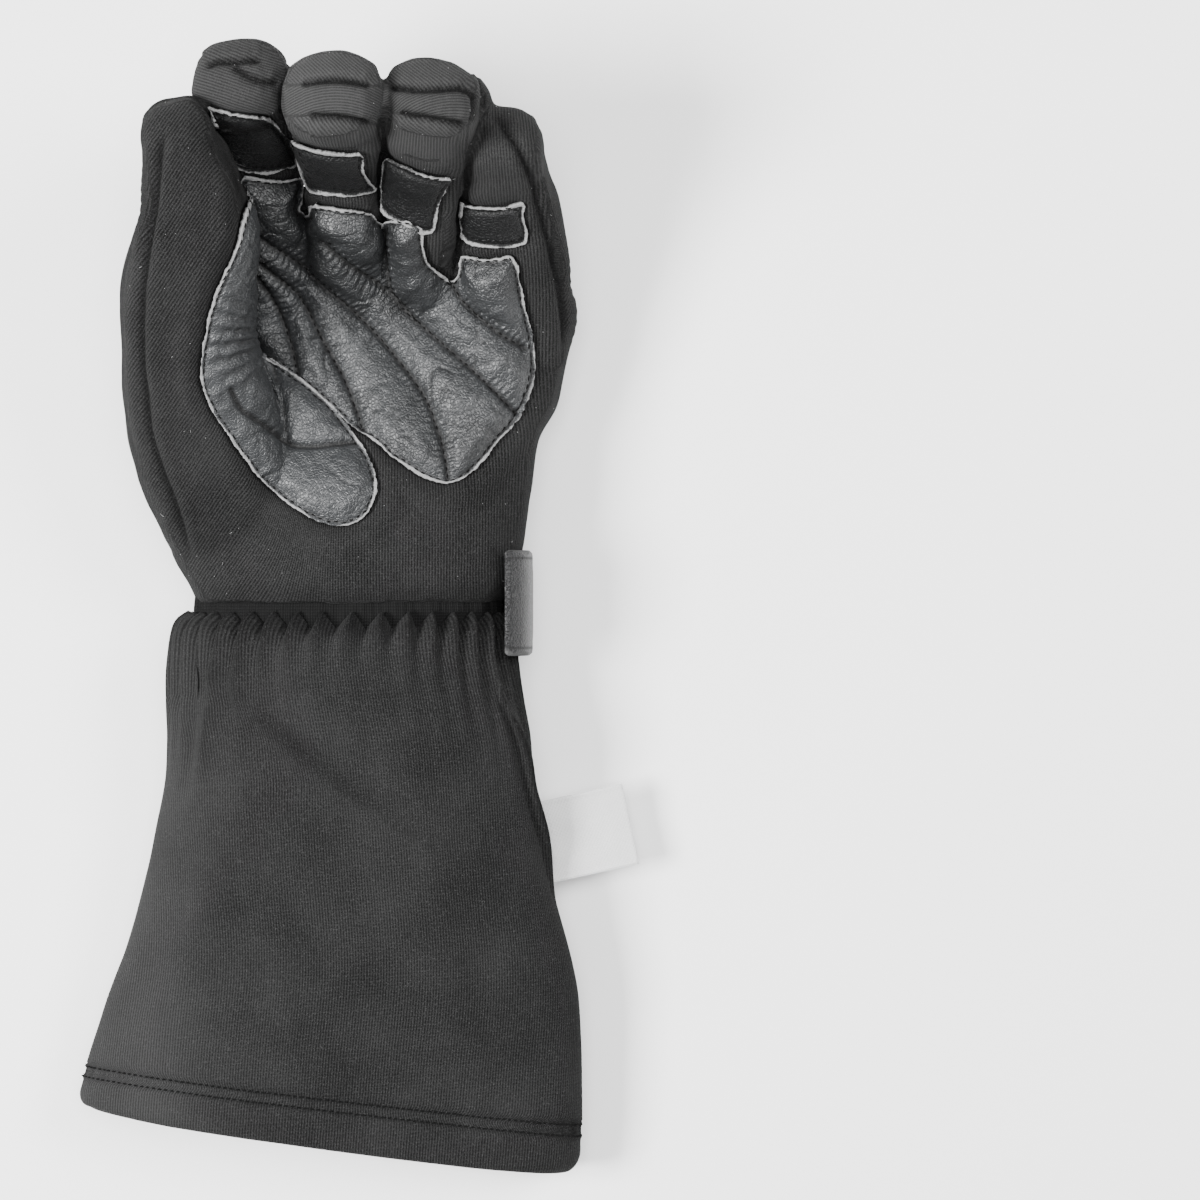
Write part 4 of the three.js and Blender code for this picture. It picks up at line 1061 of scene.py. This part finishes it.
stitchLook = dict(pitch=2.5, length=1.9, thick=.5, inset=1.15)
found = []
for name, line in dict(palm=palmLine, thumb=thumbLine, **padLines).items():
    place, way = alongLine(inset(line, stitchLook["inset"]), stitchLook["pitch"], True)
    found.append(laid(skins[name], place, way))
for line in quilting:
    place, way = alongLine(line, stitchLook["pitch"])
    found.append(laid(skins["palm"], place, way))
spots, ways, ups = (np.vstack(column) for column in zip(*found))
stitches = beads("leather_stitches", spots + ups * .1, ways, ups, stitchLook["length"], stitchLook["thick"], threadBlack)

hemSpots, hemWays, hemUps = [], [], []
for needle in (cuffLook["hem"] - .6, cuffLook["hem"] - .6 - cuffLook["needle"]):
    row = int(np.abs(sizes["cuffLength"] - outerLength - needle).argmin())
    ring = outer[row]
    run = np.r_[0, np.cumsum(np.linalg.norm(np.roll(ring, -1, 0) - ring, axis=1))]
    at = np.arange(0, run[-1] - 1, 2)
    loop = np.vstack([ring, ring[:1]])
    spot = np.stack([np.interp(at, run, c) for c in loop.T], 1)
    ahead = np.stack([np.interp(at + .3, run, c) for c in loop.T], 1)
    normalRing = outerNormals.reshape(rows, columns, 3)[row]
    normalLoop = np.vstack([normalRing, normalRing[:1]])
    up3 = np.stack([np.interp(at, run, c) for c in normalLoop.T], 1)
    flatEnough = np.abs(up3[:, 2]) > .3
    spot, ahead, up3 = spot[flatEnough], ahead[flatEnough], up3[flatEnough]
    way = ahead - spot
    hemSpots.append(spot - up3 * .05)
    hemWays.append(way / np.linalg.norm(way, axis=1, keepdims=True))
    hemUps.append(up3 / np.linalg.norm(up3, axis=1, keepdims=True))
beads("hem_stitches", np.vstack(hemSpots), np.vstack(hemWays), np.vstack(hemUps), .95, .55, threadBlack)
print("stitches made")

# Lint: short bent fibres on the knit.
lintLook = dict(onBody=80, onCuff=110)
bodyNormals = normalsOf(body, baseFaces)
open_ = np.flatnonzero((nearest < -1) & (bodyNormals[:, 2] > .1) & (base[:, 1] > 3))
pickBody = chance.choice(open_, lintLook["onBody"], replace=False)
cuffTop = np.flatnonzero((outerNormals[:, 2] > .1) & (toHem > 2))
pickCuff = chance.choice(cuffTop, lintLook["onCuff"], replace=False)
lintAt = np.vstack([body[pickBody], flat[pickCuff]])
lintUp = np.vstack([bodyNormals[pickBody], outerNormals[pickCuff]])
lintWay = chance.normal(size=lintAt.shape)
lintWay -= lintUp * (lintWay * lintUp).sum(1, keepdims=True)
lintWay /= np.linalg.norm(lintWay, axis=1, keepdims=True)
lintSize = chance.uniform(0, 1, len(lintAt))
for share, group in enumerate((lintSize < .88, lintSize >= .88)):
    beads(f"lint_{share}", (lintAt + lintUp * .12)[group], lintWay[group], lintUp[group],
          (.26, .9)[share], (.17, .1)[share], lintGrey)


# Floor, lights and camera.

def floorPaint():
    paint = Paint("floor", .6)
    tone = paint.noise(9, 2)
    return paint.finish(paint.mix(tone, paint.grey(.9), paint.grey(.94)))


floorMesh = bpy.data.meshes.new("floor")
floorMesh.from_pydata([(-3, -3, 0), (3, -3, 0), (3, 3, 0), (-3, 3, 0)], [], [(0, 1, 2, 3)])
floorMesh.materials.append(floorPaint())
floor = bpy.data.objects.new("floor", floorMesh)
scene.collection.objects.link(floor)

studio = [
    dict(name="key", place=(-1.1, -.1, 1.3), aim=(0, .02, .03), size=.6, power=84),
    dict(name="fill", place=(1.1, .5, 1.4), aim=(0, 0, 0), size=.7, power=32),
    dict(name="top", place=(.1, .2, 2.2), aim=(0, 0, 0), size=.9, power=50)]
for light in studio:
    data = bpy.data.lights.new(light["name"], "AREA")
    data.size, data.energy = light["size"], light["power"]
    lamp = bpy.data.objects.new(light["name"], data)
    lamp.location = light["place"]
    way = np.array(light["aim"]) - np.array(light["place"])
    lamp.rotation_euler = (np.arctan2(np.hypot(way[0], way[1]), -way[2]), 0, np.arctan2(-way[0], way[1]))
    scene.collection.objects.link(lamp)
world = bpy.data.worlds.new("studio")
world.use_nodes = True
world.node_tree.nodes["Background"].inputs["Color"].default_value = (1, 1, 1, 1)
world.node_tree.nodes["Background"].inputs["Strength"].default_value = .42
scene.world = world

camera = bpy.data.objects.new("camera", bpy.data.cameras.new("camera"))
camera.data.lens = 145
camera.data.sensor_width = 36
camera.data.clip_end = 50
camera.location = (eye + shift) / 1000
scene.collection.objects.link(camera)
scene.camera = camera
print("studio made")
